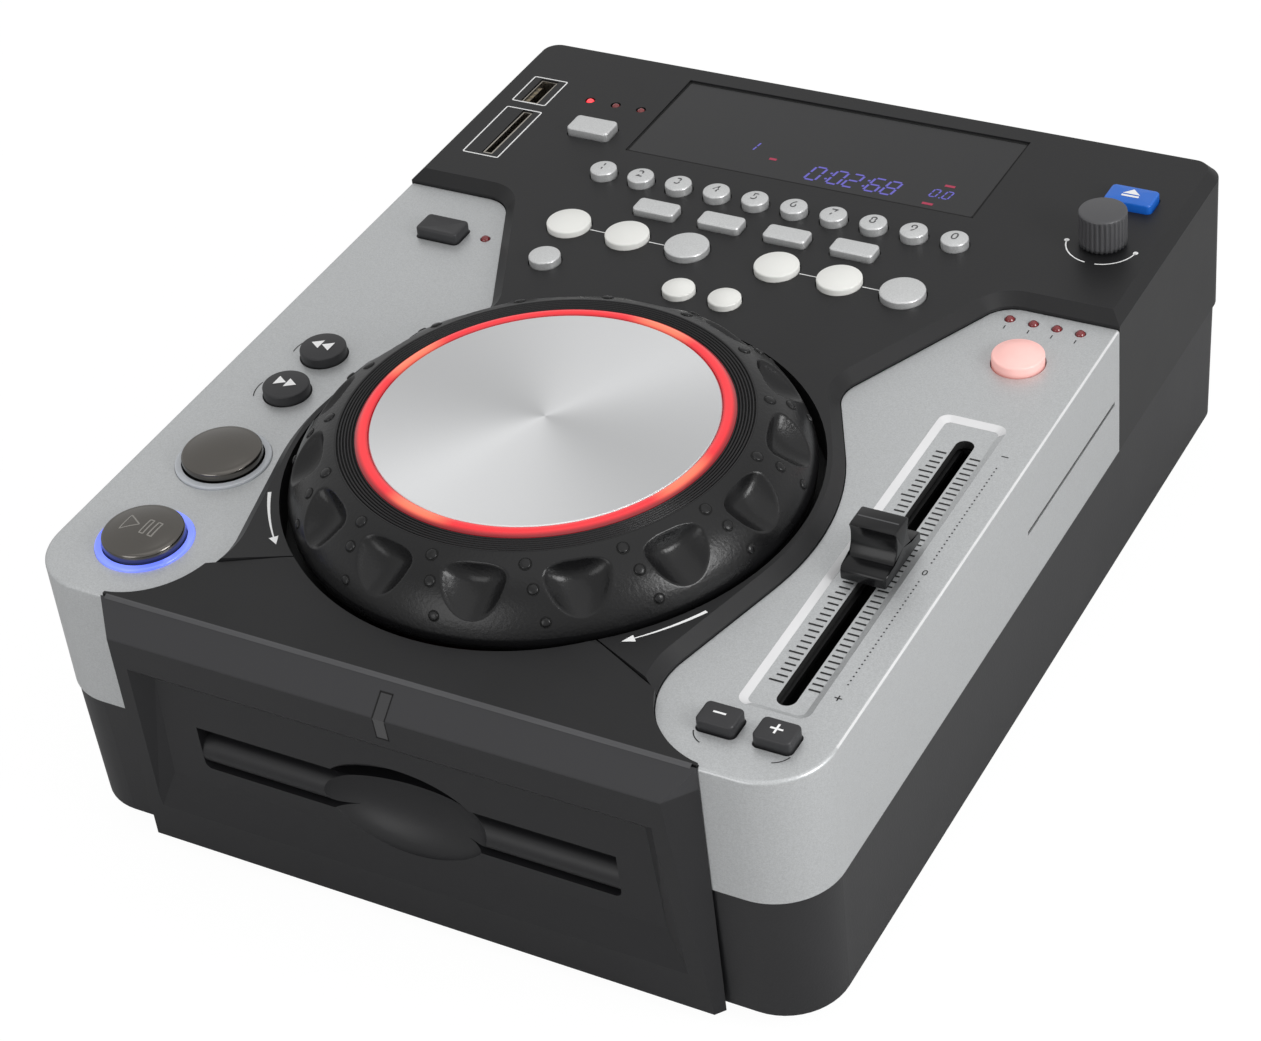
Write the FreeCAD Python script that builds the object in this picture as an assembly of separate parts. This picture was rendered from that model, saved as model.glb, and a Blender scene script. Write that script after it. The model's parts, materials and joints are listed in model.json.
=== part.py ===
import FreeCAD, Part
import math
import os

# Tabletop disc player for DJ use, in millimetres.
# X runs right as seen from the front, Y to the back, Z up. The origin is on the
# table, under the middle of the case. Distances called "back" are measured from
# the front plane of the two silver wings.

# Driving dimensions
disc_diameter = 120.0
half_width = 114.4
case_depth = 285.7
nose_overhang = 8.4
foot_height = 4.0
seam_z = 46.0
wing_front_z = 85.6
wing_slope = 0.008
deck_front_z = 89.5
deck_slope = 0.009
wall = 2.5
deck_plate = 4.0
wing_length = 200.2
front_corner_radius = 18.0
rear_corner_radius = 8.0
deck_chamfer = 3.1
clearance = 0.35
seam_gap = 0.25

# Jog wheel
jog_back = 85.5
well_radius = 72.7
well_depth = 10.0
rim_radius = 70.4
groove_radius = 55.3
ring_outer_radius = 50.2
ring_inner_radius = 46.6
jog_top_z = 107.1
dimple_count = 15
dimple_turn = 0.5

# Disc slot and its fascia
slot_length = disc_diameter + 5.4
disc_z = 48.0
mouth_low_z = disc_z - 2.5
mouth_high_z = disc_z + 2.5
cutout_low_z = 36.2
lip_z = 40.85

# Pitch fader
fader_x = 95.2
fader_slot = (28.5, 140.5)
fader_slot_width = 5.2
fader_rest = 85.2
fader_recess_plan = (84.4, 103.6, 24.6, 148.4)
fader_recess_depth = 1.0
fader_recess_bevel = 2.0

# The front plane of the wings lies this far before the middle of the case.
front_y = nose_overhang - (case_depth + nose_overhang) / 2

V = FreeCAD.Vector


def depth(back):
    return front_y + back


def deck_z(back):
    return deck_front_z + deck_slope * back


def wing_z(back):
    return wing_front_z + wing_slope * back


def box(x0, x1, back0, back1, z0, z1):
    return Part.makeBox(x1 - x0, back1 - back0, z1 - z0, V(x0, depth(back0), z0))


def rod(x, back, z0, z1, radius):
    return Part.makeCylinder(radius, z1 - z0, V(x, depth(back), z0))


def rod_along(start, end, radius):
    a = V(start[0], depth(start[1]), start[2])
    b = V(end[0], depth(end[1]), end[2])
    return Part.makeCylinder(radius, (b - a).Length, a, b - a)


def outline(steps, z):
    """A closed face from (x, back) points; a pair of points is an arc's middle and end."""
    start = V(steps[0][0], depth(steps[0][1]), z)
    here = start
    edges = []
    for step in steps[1:]:
        if isinstance(step[0], tuple):
            middle, end = [V(p[0], depth(p[1]), z) for p in step]
            edges.append(Part.Arc(here, middle, end).toShape())
        else:
            end = V(step[0], depth(step[1]), z)
            edges.append(Part.LineSegment(here, end).toShape())
        here = end
    if (here - start).Length > 1e-6:
        edges.append(Part.LineSegment(here, start).toShape())
    return Part.Face(Part.Wire(edges))


def prism(steps, z0, z1):
    return outline(steps, z0).extrude(V(0, 0, z1 - z0))


def rounded(x0, x1, b0, b1, r_front, r_back):
    """Steps of a rectangle with round corners, seen from above."""
    f = r_front * (1 - math.sqrt(0.5))
    k = r_back * (1 - math.sqrt(0.5))
    return [
        (x0 + r_front, b0),
        (x1 - r_front, b0),
        ((x1 - f, b0 + f), (x1, b0 + r_front)),
        (x1, b1 - r_back),
        ((x1 - k, b1 - k), (x1 - r_back, b1)),
        (x0 + r_back, b1),
        ((x0 + k, b1 - k), (x0, b1 - r_back)),
        (x0, b0 + r_front),
        ((x0 + f, b0 + f), (x0 + r_front, b0)),
    ]


def tapered(steps_low, steps_high, z0, z1):
    low = outline(steps_low, z0).OuterWire
    high = outline(steps_high, z1).OuterWire
    return Part.makeLoft([low, high], True, True)


def half_space(point, normal, size=600.0):
    """A large block that fills the side of a plane that its normal points to."""
    block = Part.makeBox(size, size, size, V(-size / 2, -size / 2, 0))
    turn = FreeCAD.Rotation(V(0, 0, 1), V(*normal))
    block.Placement = FreeCAD.Placement(V(point[0], depth(point[1]), point[2]), turn)
    return block


def above_deck(drop=0.0):
    return half_space((0, 0, deck_front_z - drop), (0, -deck_slope, 1))


def above_wing(drop=0.0):
    return half_space((0, 0, wing_front_z - drop), (0, -wing_slope, 1))


def above_nose(drop=0.0):
    rise = deck_z(nose_run) - nose_low_z
    return half_space((0, 0, nose_low_z - drop), (0, -rise / nose_run, 1))


def mirrored(shape):
    return shape.mirror(V(0, 0, 0), V(1, 0, 0))


def top_edges(shape, back_to_z, tolerance=0.05):
    """Edges whose two ends and middle lie on a sloping surface."""
    found = []
    for edge in shape.Edges:
        middle = edge.valueAt((edge.FirstParameter + edge.LastParameter) / 2)
        ends = [v.Point for v in edge.Vertexes] + [middle]
        if all(abs(p.z - back_to_z(p.y - front_y)) < tolerance for p in ends):
            found.append(edge)
    return found


def level_edges(shape, z, tolerance=0.01):
    return top_edges(shape, lambda back: z, tolerance)


def save(name, shape):
    solids = shape.Solids
    good = all(s.isValid() and s.isClosed() for s in solids)
    kept = solids[0] if len(solids) == 1 else Part.Compound(solids)
    kept.exportStep("parts/" + name + ".step")
    print(name, "solids", len(solids), "volume", round(kept.Volume), "good", good)


# The black deck's edge towards the right wing rounds four circles in turn: the
# wing's front corner, the jog well, the wing's inner tip and its rear corner.
# Each entry is a centre, a radius and 1 where the edge turns left, -1 right.
edge_circles = [
    ((90.2, 26.0), 25.2, -1),
    ((0.0, jog_back), 77.2, 1),
    ((66.3, 146.8), 10.2, -1),
    ((86.6, wing_length - 10.0), 10.0, -1),
]


def tangent(first, second):
    """The straight run between two circles, as the points where it leaves and arrives."""
    (x1, b1), r1, turn1 = first
    (x2, b2), r2, turn2 = second
    apart = math.hypot(x2 - x1, b2 - b1)
    heading = math.atan2(b2 - b1, x2 - x1) - math.asin((turn2 * r2 - turn1 * r1) / apart)
    left = (-math.sin(heading), math.cos(heading))
    leave = (x1 - turn1 * r1 * left[0], b1 - turn1 * r1 * left[1])
    arrive = (x2 - turn2 * r2 * left[0], b2 - turn2 * r2 * left[1])
    return leave, arrive


def arc_middle(circle, start, end):
    """The point half way round a circle between two of its points."""
    (x, b), r, turn = circle
    a0 = math.atan2(start[1] - b, start[0] - x)
    a1 = math.atan2(end[1] - b, end[0] - x)
    sweep = (a1 - a0) * turn % (2 * math.pi) * turn
    return (x + r * math.cos(a0 + sweep / 2), b + r * math.sin(a0 + sweep / 2))


def deck_edge_steps():
    (x, b), r, turn = edge_circles[0]
    here = (86.6, b - math.sqrt(r * r - (x - 86.6) ** 2))
    steps = [(86.6, 0.0), here]
    for circle, after in zip(edge_circles, edge_circles[1:]):
        leave, arrive = tangent(circle, after)
        steps += [(arc_middle(circle, here, leave), leave), arrive]
        here = arrive
    end = (edge_circles[-1][0][0], wing_length)
    steps += [(arc_middle(edge_circles[-1], here, end), end), (half_width, wing_length)]
    return steps


deck_edge = deck_edge_steps()
nose_run = 27.0
nose_low_z = 86.3
nose_plate = 3.0
seam_outer = (67.6, 18.3)
seam_inner = (44.5, 28.7)


def flipped(steps):
    """The same edge on the left side, walked the other way."""
    result = []
    for index in range(len(steps) - 1, 0, -1):
        previous = steps[index - 1]
        if isinstance(previous[0], tuple):
            previous = previous[1]
        end = (-previous[0], previous[1])
        if isinstance(steps[index][0], tuple):
            middle = steps[index][0]
            result.append(((-middle[0], middle[1]), end))
        else:
            result.append(end)
    return result


def black_outline():
    r = rear_corner_radius
    k = r * (1 - math.sqrt(0.5))
    right = deck_edge + [
        (half_width, case_depth - r),
        ((half_width - k, case_depth - k), (half_width - r, case_depth)),
    ]
    left = [
        (-half_width + r, case_depth),
        ((-half_width + k, case_depth - k), (-half_width, case_depth - r)),
        (-half_width, wing_length),
    ]
    return right + left + flipped(deck_edge)


def case_envelope(z0, z1, inset=0.0):
    """The outer form of the case between two heights."""
    w = half_width - inset
    steps = rounded(-w, w, inset, case_depth - inset, front_corner_radius, rear_corner_radius)
    return prism(steps, z0, z1)


def rounded_key(width, length, radius):
    return rounded(-width / 2, width / 2, -length / 2, length / 2, radius, radius)


# Keys and buttons: where each stands, its plan size, how far it stands proud and
# how far it travels. A round one gives one size, its diameter.
key_row = 0.7


def key_table():
    table = {}
    for digit in range(10):
        label = (digit + 1) % 10
        x = key_row + 12.7 * (digit - 4.5)
        table["number_key_%d" % label] = dict(at=(x, 218.0), size=(8.1,), proud=3.0, on="deck")
    for index, name in enumerate(("time_key", "track_mode_key", "repeat_key", "program_key")):
        x = key_row + 21.3 * (index - 1.5)
        table[name] = dict(at=(x, 204.6), size=(13.6, 6.6), proud=2.6, on="deck")
    for x, name in zip((-53.6, -34.1, -14.4, 14.4, 34.1, 53.6),
                       ("loop_a_in_key", "loop_a_out_key", "loop_a_return_key",
                        "loop_b_in_key", "loop_b_out_key", "loop_b_return_key")):
        table[name] = dict(at=(x + key_row, 189.9), size=(13.2,), proud=2.6, on="deck")
    table["tap_key"] = dict(at=(-50.4, 171.0), size=(9.4,), proud=2.8, on="deck")
    table["reverse_key"] = dict(at=(-6.2, 170.2), size=(9.6,), proud=2.6, on="deck")
    table["brake_key"] = dict(at=(8.4, 170.2), size=(9.6,), proud=2.6, on="deck")
    table["source_key"] = dict(at=(-71.6, 238.6), size=(14.2, 8.2), proud=3.0, on="deck")
    table["eject_key"] = dict(at=(96.8, 255.1), size=(14.4, 8.6), proud=3.0, on="deck")
    table["cue_button"] = dict(at=(-89.6, 60.6), size=(22.4,), proud=5.2, on="wing")
    table["play_button"] = dict(at=(-89.6, 23.4), size=(22.4,), proud=5.2, on="wing")
    table["search_back_key"] = dict(at=(-90.2, 112.6), size=(13.4,), proud=3.6, on="wing")
    table["search_forward_key"] = dict(at=(-90.2, 93.4), size=(13.4,), proud=3.6, on="wing")
    table["jog_mode_key"] = dict(at=(-90.2, 178.6), size=(14.0, 8.6), proud=3.4, on="wing")
    table["pitch_key"] = dict(at=(94.4, 176.5), size=(14.6,), proud=4.6, on="wing")
    table["pitch_minus_key"] = dict(at=(85.1, 15.8), size=(10.2, 7.6), proud=3.8, on="wing")
    table["pitch_plus_key"] = dict(at=(100.2, 15.8), size=(10.2, 7.6), proud=3.8, on="wing")
    return table


keys = key_table()
key_travel = 1.2
flange = 1.4


def surface(key):
    back = key["at"][1]
    return deck_z(back) if key["on"] == "deck" else wing_z(back)


def plate(key):
    return deck_plate if key["on"] == "deck" else wall


def key_prism(key, grow, z0, z1):
    """A prism with the key's plan shape, grown on all sides."""
    x, back = key["at"]
    if len(key["size"]) == 1:
        return rod(x, back, z0, z1, key["size"][0] / 2 + grow)
    width, length = key["size"]
    steps = rounded_key(width + 2 * grow, length + 2 * grow, 1.4 + grow)
    shape = prism(steps, z0, z1)
    shape.translate(V(x, back, 0))
    return shape


def key_solid(key):
    top = surface(key) + key["proud"]
    under = surface(key) - plate(key)
    cap = key_prism(key, 0, under - 1.6, top)
    cap = cap.makeFillet(0.9 if len(key["size"]) == 2 else 0.7, level_edges(cap, top))
    rim = key_prism(key, flange, under - 1.6, under - 0.45)
    stem = rod(key["at"][0], key["at"][1], under - 5.0, under - 1.6, 2.0)
    return cap.fuse(rim).fuse(stem).removeSplitter()


def key_hole(key):
    return key_prism(key, clearance, surface(key) - 12, surface(key) + 4)


def cut_key_holes(shape, side, keep):
    for key in keys.values():
        if key["on"] == side and keep(key["at"][0]):
            shape = shape.cut(key_hole(key))
    return shape


# Casing
def base_pan():
    inset = 0.65
    w = half_width - inset
    sole = rounded(-w + 2.2, w - 2.2, inset + 2.2, case_depth - inset - 2.2, 15.4, 6.4)
    low = rounded(-w + 0.6, w - 0.6, inset + 0.6, case_depth - inset - 0.6, 17.0, 8.0)
    high = rounded(-w, w, inset, case_depth - inset, 17.0, 8.0)
    bevel_z = foot_height + 1.6
    shell = tapered(low, high, bevel_z, seam_z - seam_gap).fuse(tapered(sole, low, foot_height, bevel_z))
    inside = rounded(-w + 3, w - 3, inset + 3, case_depth - inset - 3, 14.0, 5.0)
    shell = shell.cut(prism(inside, foot_height + wall, seam_z + 1))
    shell = shell.cut(box(-67, 67, -2, 5, 20, seam_z + 1))
    for x in (-101, 101):
        for back in (22, 264):
            post = rod(x, back, foot_height + 1, seam_z - 0.2, 4.2)
            shell = shell.fuse(post)
            shell = shell.cut(rod(x, back, 0, seam_z + 1, 1.7))
            shell = shell.cut(rod(x, back, 0, foot_height + 4, 3.4))
    for cut in rear_cutouts():
        shell = shell.cut(cut)
    for index in range(7):
        vent = box(-60 + 18 * index, -48 + 18 * index, 150, 153, 0, 10)
        shell = shell.cut(vent)
    return shell.removeSplitter()


def top_shell():
    block = prism(black_outline(), seam_z, 100).common(case_envelope(seam_z, 100))
    block = block.cut(above_deck())
    rims = [e for e in top_edges(block, deck_z) if e.BoundBox.YMax > depth(10)]
    block = block.makeChamfer(deck_chamfer, rims)
    skin = block.common(above_deck(deck_plate))
    ring = block.cut(box(-200, 200, -20, wing_length, 0, 200))
    inside = rounded(-half_width + 3.2, half_width - 3.2, 203.2, case_depth - 3.4, 0.5, 5.0)
    ring = ring.cut(prism(inside, 0, 200)).cut(above_deck(deck_plate))
    # The ring's front wall stands only behind the wings, clear of the keys and their board.
    ring = ring.cut(box(-76, 76, 199, 204, 0, 200))
    shell = skin.fuse(ring)
    shell = shell.cut(nose_zone())
    floor_z = deck_z(jog_back) - deck_plate - well_depth
    dish = rod(0, jog_back, floor_z, deck_z(jog_back) - 1.5, well_radius + 1.8)
    dish = dish.cut(above_deck(deck_plate - 0.5)).cut(nose_zone().common(above_nose(nose_plate + 0.4)))
    shell = shell.fuse(dish)
    shell = shell.cut(rod(0, jog_back, floor_z + 2.0, 200, well_radius))
    shell = shell.cut(rod(0, jog_back, 0, 200, 12.0))
    shell = shell.cut(box(*window_frame(0.3), deck_z(254) - 1.7, 200))
    shell = shell.cut(box(*window_frame(-4.0), 0, 200))
    shell = cut_key_holes(shell, "deck", lambda x: True)
    shell = shell.cut(rod(encoder_at[0], encoder_at[1], 0, 200, 3.6))
    shell = shell.cut(box(*usb_hole(0.3), 0, 200)).cut(box(*card_hole(0.3), 0, 200))
    for x, back in source_lamps:
        shell = shell.cut(rod(x, back, 0, 200, 1.6))
    return shell.removeSplitter()


def nose_zone():
    """The plan area of the separate piece in front of the jog wheel."""
    ax, ab = seam_outer
    bx, bb = seam_inner
    steps = [(-95, -20), (95, -20), (95, ab - 12), (ax + 4, ab - 1.8), (bx, bb), (bx - 3, bb + 20),
             (-bx + 3, bb + 20), (-bx, bb), (-ax - 4, ab - 1.8), (-95, ab - 12)]
    return prism(steps, 0, 200)


def front_nose():
    block = prism(black_outline(), seam_z + 20, 100).common(nose_zone()).cut(above_deck())
    block = block.cut(above_nose())
    block = block.cut(box(-200, 200, -20, 0.3, 0, 200))
    hollow = box(-200, 200, -20, 60, 0, 200).cut(above_nose(nose_plate))
    block = block.cut(hollow)
    block = block.cut(rod(0, jog_back, 0, 200, well_radius))
    gap = prism([(seam_outer[0] + 4, seam_outer[1] - 1.8), seam_inner, (seam_inner[0], seam_inner[1] + 2),
                 (seam_outer[0] + 4, seam_outer[1] + 2)], 0, 200)
    gap.translate(V(0, -0.5, 0))
    return block.cut(gap).cut(mirrored(gap)).removeSplitter()


def wing_block():
    outer = case_envelope(seam_z, 100).common(box(50, 200, -5, wing_length, seam_z, 100))
    deck_plan = outline(black_outline(), 0).makeOffset2D(seam_gap)
    outer = outer.cut(deck_plan.extrude(V(0, 0, 200))).cut(above_wing())
    outline_edges = [e for e in top_edges(outer, wing_z)
                     if e.BoundBox.XMax > 90 and e.BoundBox.YMin < depth(60)
                     and e.BoundBox.XMin > 86]
    outer = outer.makeFillet(0.9, outline_edges)
    inside = rounded(20, half_width - 3.2, 3.2, wing_length - 3, 15.0, 0.5)
    void = prism(inside, 0, 200).cut(above_wing(wall))
    # A return behind the fascia closes the corner.
    closer = box(80, 87.5, 0.3, 3.2, seam_z + 0.3, 82)
    return outer.cut(void).fuse(closer)


def fader_recess():
    """A shallow pocket with sloping sides, its floor parallel to the wing's top."""
    x0, x1, b0, b1 = fader_recess_plan
    rings = []
    for grow in (-fader_recess_bevel, fader_recess_bevel):
        r = 3.0 + 0.7 * grow
        rings.append(rounded(x0 - grow, x1 + grow, b0 - grow, b1 + grow, r, r))
    pocket = tapered(rings[0], rings[1], -fader_recess_depth, fader_recess_depth)
    pocket.rotate(V(0, front_y, 0), V(1, 0, 0), math.degrees(math.atan(wing_slope)))
    pocket.translate(V(0, 0, wing_front_z))
    return pocket


def right_wing():
    wing = wing_block()
    wing = wing.cut(fader_recess())
    low, high = fader_slot
    r = fader_slot_width / 2
    wing = wing.cut(prism(rounded(fader_x - r, fader_x + r, low, high, r - 0.01, r - 0.01), 0, 200))
    slit = box(half_width - 1.6, half_width + 2, 134.0, 196.5, 64.2, 65.5)
    wing = wing.cut(slit)
    wing = cut_key_holes(wing, "wing", lambda x: x > 0)
    for x in pitch_lamps:
        wing = wing.cut(rod(x, pitch_lamp_back, 0, 200, 1.6))
    return wing.removeSplitter()


def left_wing():
    wing = mirrored(wing_block())
    wing = cut_key_holes(wing, "wing", lambda x: x < 0)
    for name in ("cue_button", "play_button"):
        x, back = keys[name]["at"]
        wing = wing.cut(rod(x, back, wing_z(back) - 1.2, 200, light_ring_radius + 0.1))
    wing = wing.cut(rod(mode_lamp[0], mode_lamp[1], 0, 200, 1.6))
    return wing.removeSplitter()


# Disc fascia
def fascia_front(z):
    """How far behind the wings' front plane the leaning front face stands."""
    return -2.9 - (z - foot_height) * (nose_overhang - 2.9) / (79.3 - foot_height)


def disc_fascia():
    panel = box(-92, 92, -12, -seam_gap, foot_height + 0.2, nose_low_z)
    lean = (nose_overhang - 2.9) / (79.3 - foot_height)
    panel = panel.cut(half_space((0, -2.9, foot_height), (0, -1, -lean)))
    panel = panel.cut(half_space((0, -nose_overhang, 79.3), (0, -6.9, nose_overhang)))
    for side in (1, -1):
        panel = panel.cut(half_space((side * 85.7, -2.9, foot_height), (side, -0.78, 0.01)))
    panel = panel.fuse(box(-66, 66, -1, 3.0, 22, 66)).fuse(box(-29, 29, 3.0, 8.0, 23, 61))
    # The recessed middle: deepest at the top, running out towards the foot.
    outer = [V(-77.2, 0, 70.1), V(77.2, 0, 70.1), V(81.2, 0, 14.5), V(-81.2, 0, 14.5)]
    inner = [V(-72.5, 4.0, 64.4), V(72.5, 4.0, 64.4), V(74.6, 2.4, 30.0), V(-74.6, 2.4, 30.0)]
    panel = panel.cut(frustum(outer, inner))
    # The cut-out holds the mouth above and a rolled lip below.
    cutout = box(-slot_length / 2, slot_length / 2, -12, 1.2, cutout_low_z, mouth_high_z)
    low_ends = [e for e in cutout.Edges
                if e.BoundBox.YLength > 10 and e.BoundBox.ZMax < cutout_low_z + 0.1]
    panel = panel.cut(cutout.makeFillet(2.0, low_ends))
    lip_end = slot_length / 2 + 1
    lip = rod_along((-lip_end, 2.0, lip_z), (lip_end, 2.0, lip_z), lip_z - cutout_low_z)
    panel = panel.fuse(lip.common(box(-200, 200, -10, 3.0, 0, 100)))
    scoop = Part.makeSphere(1.0)
    stretch = FreeCAD.Matrix()
    stretch.scale(25.0, 9.0, 15.0)
    scoop = scoop.transformGeometry(stretch)
    scoop.translate(V(0, depth(-4.4), 42.5))
    panel = panel.cut(scoop)
    panel = panel.cut(box(-slot_length / 2, slot_length / 2, -12, 12, mouth_low_z, mouth_high_z))
    panel = panel.cut(indicator_shape(0.15))
    return panel.removeSplitter()


def frustum(outer, inner):
    """A pocket between four points on the leaning face and four points behind it."""
    def placed(point, lift):
        return V(point.x, depth(fascia_front(point.z) + point.y - lift), point.z)
    front = [placed(p, 0.6) for p in outer]
    front = [V(p.x * 1.007, p.y, p.z + (0.5 if p.z > 40 else -0.5)) for p in front]
    back = [placed(p, 0) for p in inner]
    faces = []
    for ring in (front, back):
        faces.append(Part.Face(Part.makePolygon([ring[0], ring[1], ring[2], ring[3], ring[0]])))
    for index in range(4):
        after = (index + 1) % 4
        a, b, c, d = front[index], front[after], back[after], back[index]
        faces.append(Part.Face(Part.makePolygon([a, b, c, a])))
        faces.append(Part.Face(Part.makePolygon([a, c, d, a])))
    shape = Part.Solid(Part.Shell(faces))
    if shape.Volume < 0:
        shape.reverse()
    return shape


def indicator_shape(grow):
    """A small light guide that bends over the fascia's front top edge."""
    strip = box(0.4 - grow, 3.8 + grow, -12, -3.0 + grow, 72.6 - grow, 90)
    lean = (nose_overhang - 2.9) / (79.3 - foot_height)
    skin = half_space((0, -2.9 + 2.0 + grow, foot_height), (0, -1, -lean))
    outer = half_space((0, -2.9, foot_height), (0, -1, -lean))
    chamfer = (0, -6.9, nose_overhang)
    over = half_space((0, -nose_overhang, 79.3), chamfer)
    under = half_space((0, -nose_overhang, 79.3 - 2.6 - 1.3 * grow), chamfer)
    return strip.common(skin.fuse(under)).cut(outer).cut(over).removeSplitter()


# Display, ports and lamps
encoder_at = (96.9, 232.5)
source_lamps = ((-81.6, 255.0), (-72.5, 255.0), (-63.6, 255.0))
pitch_lamps = (84.3, 91.3, 98.2, 105.1)
pitch_lamp_back = 194.8
mode_lamp = (-76.7, 180.4)
light_ring_radius = 13.4


def window_frame(grow):
    return (-56.8 - grow, 56.8 + grow, 232.8 - grow, 275.8 + grow)


def usb_hole(grow):
    return (-102.4 - grow, -96.8 + grow, 247.9 - grow, 261.3 + grow)


def card_hole(grow):
    return (-98.6 - grow, -95.4 + grow, 217.3 - grow, 242.8 + grow)


def display_window():
    glass = box(*window_frame(0.0), deck_z(254) - 1.6, deck_z(254) - 0.4)
    backing = box(*window_frame(-4.3), deck_z(254) - 9.0, deck_z(254) - 1.6)
    return glass.fuse(backing).removeSplitter()


def media_ports():
    top = deck_z(250) - 0.3
    shell = box(*usb_hole(0.0), top - 16, top)
    shell = shell.cut(box(*usb_hole(-0.4), top - 15, top + 1))
    x0, x1, b0, b1 = usb_hole(0.0)
    tongue = box(x0 + 0.4, x0 + 1.0, b0 + 2.0, b1 - 2.0, top - 15.5, top - 1.5)
    card = box(*card_hole(0.0), deck_z(230) - 26, deck_z(230) - 0.3)
    card = card.cut(box(*card_hole(-0.5), deck_z(230) - 25, deck_z(230) + 1))
    return Part.Compound([shell.fuse(tongue).removeSplitter(), card])


def button_light_rings():
    rings = []
    for name in ("cue_button", "play_button"):
        x, back = keys[name]["at"]
        z = wing_z(back)
        hole = keys[name]["size"][0] / 2 + clearance
        ring = rod(x, back, z - 1.1, z + 0.7, light_ring_radius).cut(rod(x, back, 0, 200, hole))
        rings.append(ring.makeFillet(0.5, level_edges(ring, z + 0.7)[:1]))
    return Part.Compound(rings)


def status_lamps():
    lamps = []
    places = [(x, back, deck_z(back) + 0.2) for x, back in source_lamps]
    places += [(x, pitch_lamp_back, wing_z(pitch_lamp_back) + 0.9) for x in pitch_lamps]
    places.append((mode_lamp[0], mode_lamp[1], wing_z(mode_lamp[1]) + 0.9))
    for x, back, top in places:
        body = rod(x, back, top - 7.5, top - 1.2, 1.45)
        dome = Part.makeSphere(1.45, V(x, depth(back), top - 1.3))
        lamps.append(body.fuse(dome).removeSplitter())
    lamps.append(indicator_shape(0.0))
    return Part.Compound(lamps)


# Jog wheel
rim_low_z = deck_z(jog_back) - 4.0
rim_edge_z = deck_z(jog_back) - 0.3
rim_flat_z = jog_top_z - 0.9


def revolve(edges):
    face = Part.Face(Part.Wire(edges))
    return face.revolve(V(0, depth(jog_back), 0), V(0, 0, 1), 360)


def section_line(start, end):
    """A straight edge between two (radius, z) points of the wheel's section."""
    a, b = [V(radius, depth(jog_back), z) for radius, z in (start, end)]
    return Part.LineSegment(a, b).toShape()


def section_arc(*points):
    return Part.Arc(*[V(radius, depth(jog_back), z) for radius, z in points]).toShape()


def jog_rim():
    low, flat = rim_low_z, rim_flat_z
    outer = ring_outer_radius + 0.1
    inner = ring_inner_radius - 3
    corners = [
        (outer, flat),
        (outer, flat - 4),
        (inner, flat - 4),
        (inner, low + 3),
        (rim_radius - 2.5, low + 3),
        (rim_radius - 2.5, low),
        (rim_radius - 0.4, low),
        (rim_radius, rim_edge_z),
    ]
    edges = [section_line((groove_radius, flat), corners[0])]
    edges += [section_line(a, b) for a, b in zip(corners, corners[1:])]
    edges.append(section_arc(corners[-1], (64.6, 100.6), (groove_radius, flat)))
    rim = revolve(edges)
    rim = rim.fuse(rod(0, jog_back, low + 3, low + 6, ring_inner_radius - 2))
    rim = rim.fuse(rod(0, jog_back, 66.0, low + 4, 4.0))
    for index in range(5):
        radius = groove_radius - 0.5 - 0.9 * index
        groove = rod(0, jog_back, flat - 0.2, flat + 1, radius)
        rim = rim.cut(groove.cut(rod(0, jog_back, 0, 200, radius - 0.3)))
    for index in range(dimple_count):
        rim = rim.cut(dimple(index))
    return rim.removeSplitter()


def dimple(index):
    """A finger hollow in the rim's slope: a ball pressed in along the slope's normal."""
    angle = 360.0 * (index + 0.5) / dimple_count - 90.0 + dimple_turn
    ball = Part.makeSphere(10.0, V(69.2, depth(jog_back), 107.0))
    ball.rotate(V(0, depth(jog_back), 0), V(0, 0, 1), angle)
    return ball


def jog_light_ring():
    inner = ring_inner_radius + 0.1
    outer = ring_outer_radius
    foot = rim_flat_z - 3.9
    top = rim_flat_z + 0.75
    edges = [
        section_line((inner, foot), (outer, foot)),
        section_line((outer, foot), (outer, top - 0.65)),
        section_arc((outer, top - 0.65), ((inner + outer) / 2 + 0.3, top + 0.2), (inner, top)),
        section_line((inner, top), (inner, foot)),
    ]
    return revolve(edges)


def jog_disc():
    top = rim_flat_z + 0.8
    disc = rod(0, jog_back, top - 2.6, top, ring_inner_radius)
    disc = disc.makeChamfer(0.4, level_edges(disc, top))
    spigot = rod(0, jog_back, rim_low_z + 6.0, top - 2.6, 12.0)
    return disc.fuse(spigot).removeSplitter()


def jog_bearing():
    top = deck_z(jog_back) - deck_plate - well_depth + 2.0
    bush = rod(0, jog_back, 64.0, top + 1.0, 11.9)
    bush = bush.fuse(rod(0, jog_back, top + 0.05, top + 1.65, 18.0))
    return bush.cut(rod(0, jog_back, 65.0, 200, 4.05)).removeSplitter()


# Pitch fader
def pitch_fader_body():
    low, high = fader_slot
    top = wing_front_z - wall - 0.4
    body = box(fader_x - 6.2, fader_x + 6.2, low - 5, high + 5, 70.0, top)
    body = body.cut(box(fader_x - 4.4, fader_x + 4.4, low - 2, high + 2, 71.5, top - 1.5))
    return body.cut(box(fader_x - 1.6, fader_x + 1.6, low, high, 0, 200))


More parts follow.
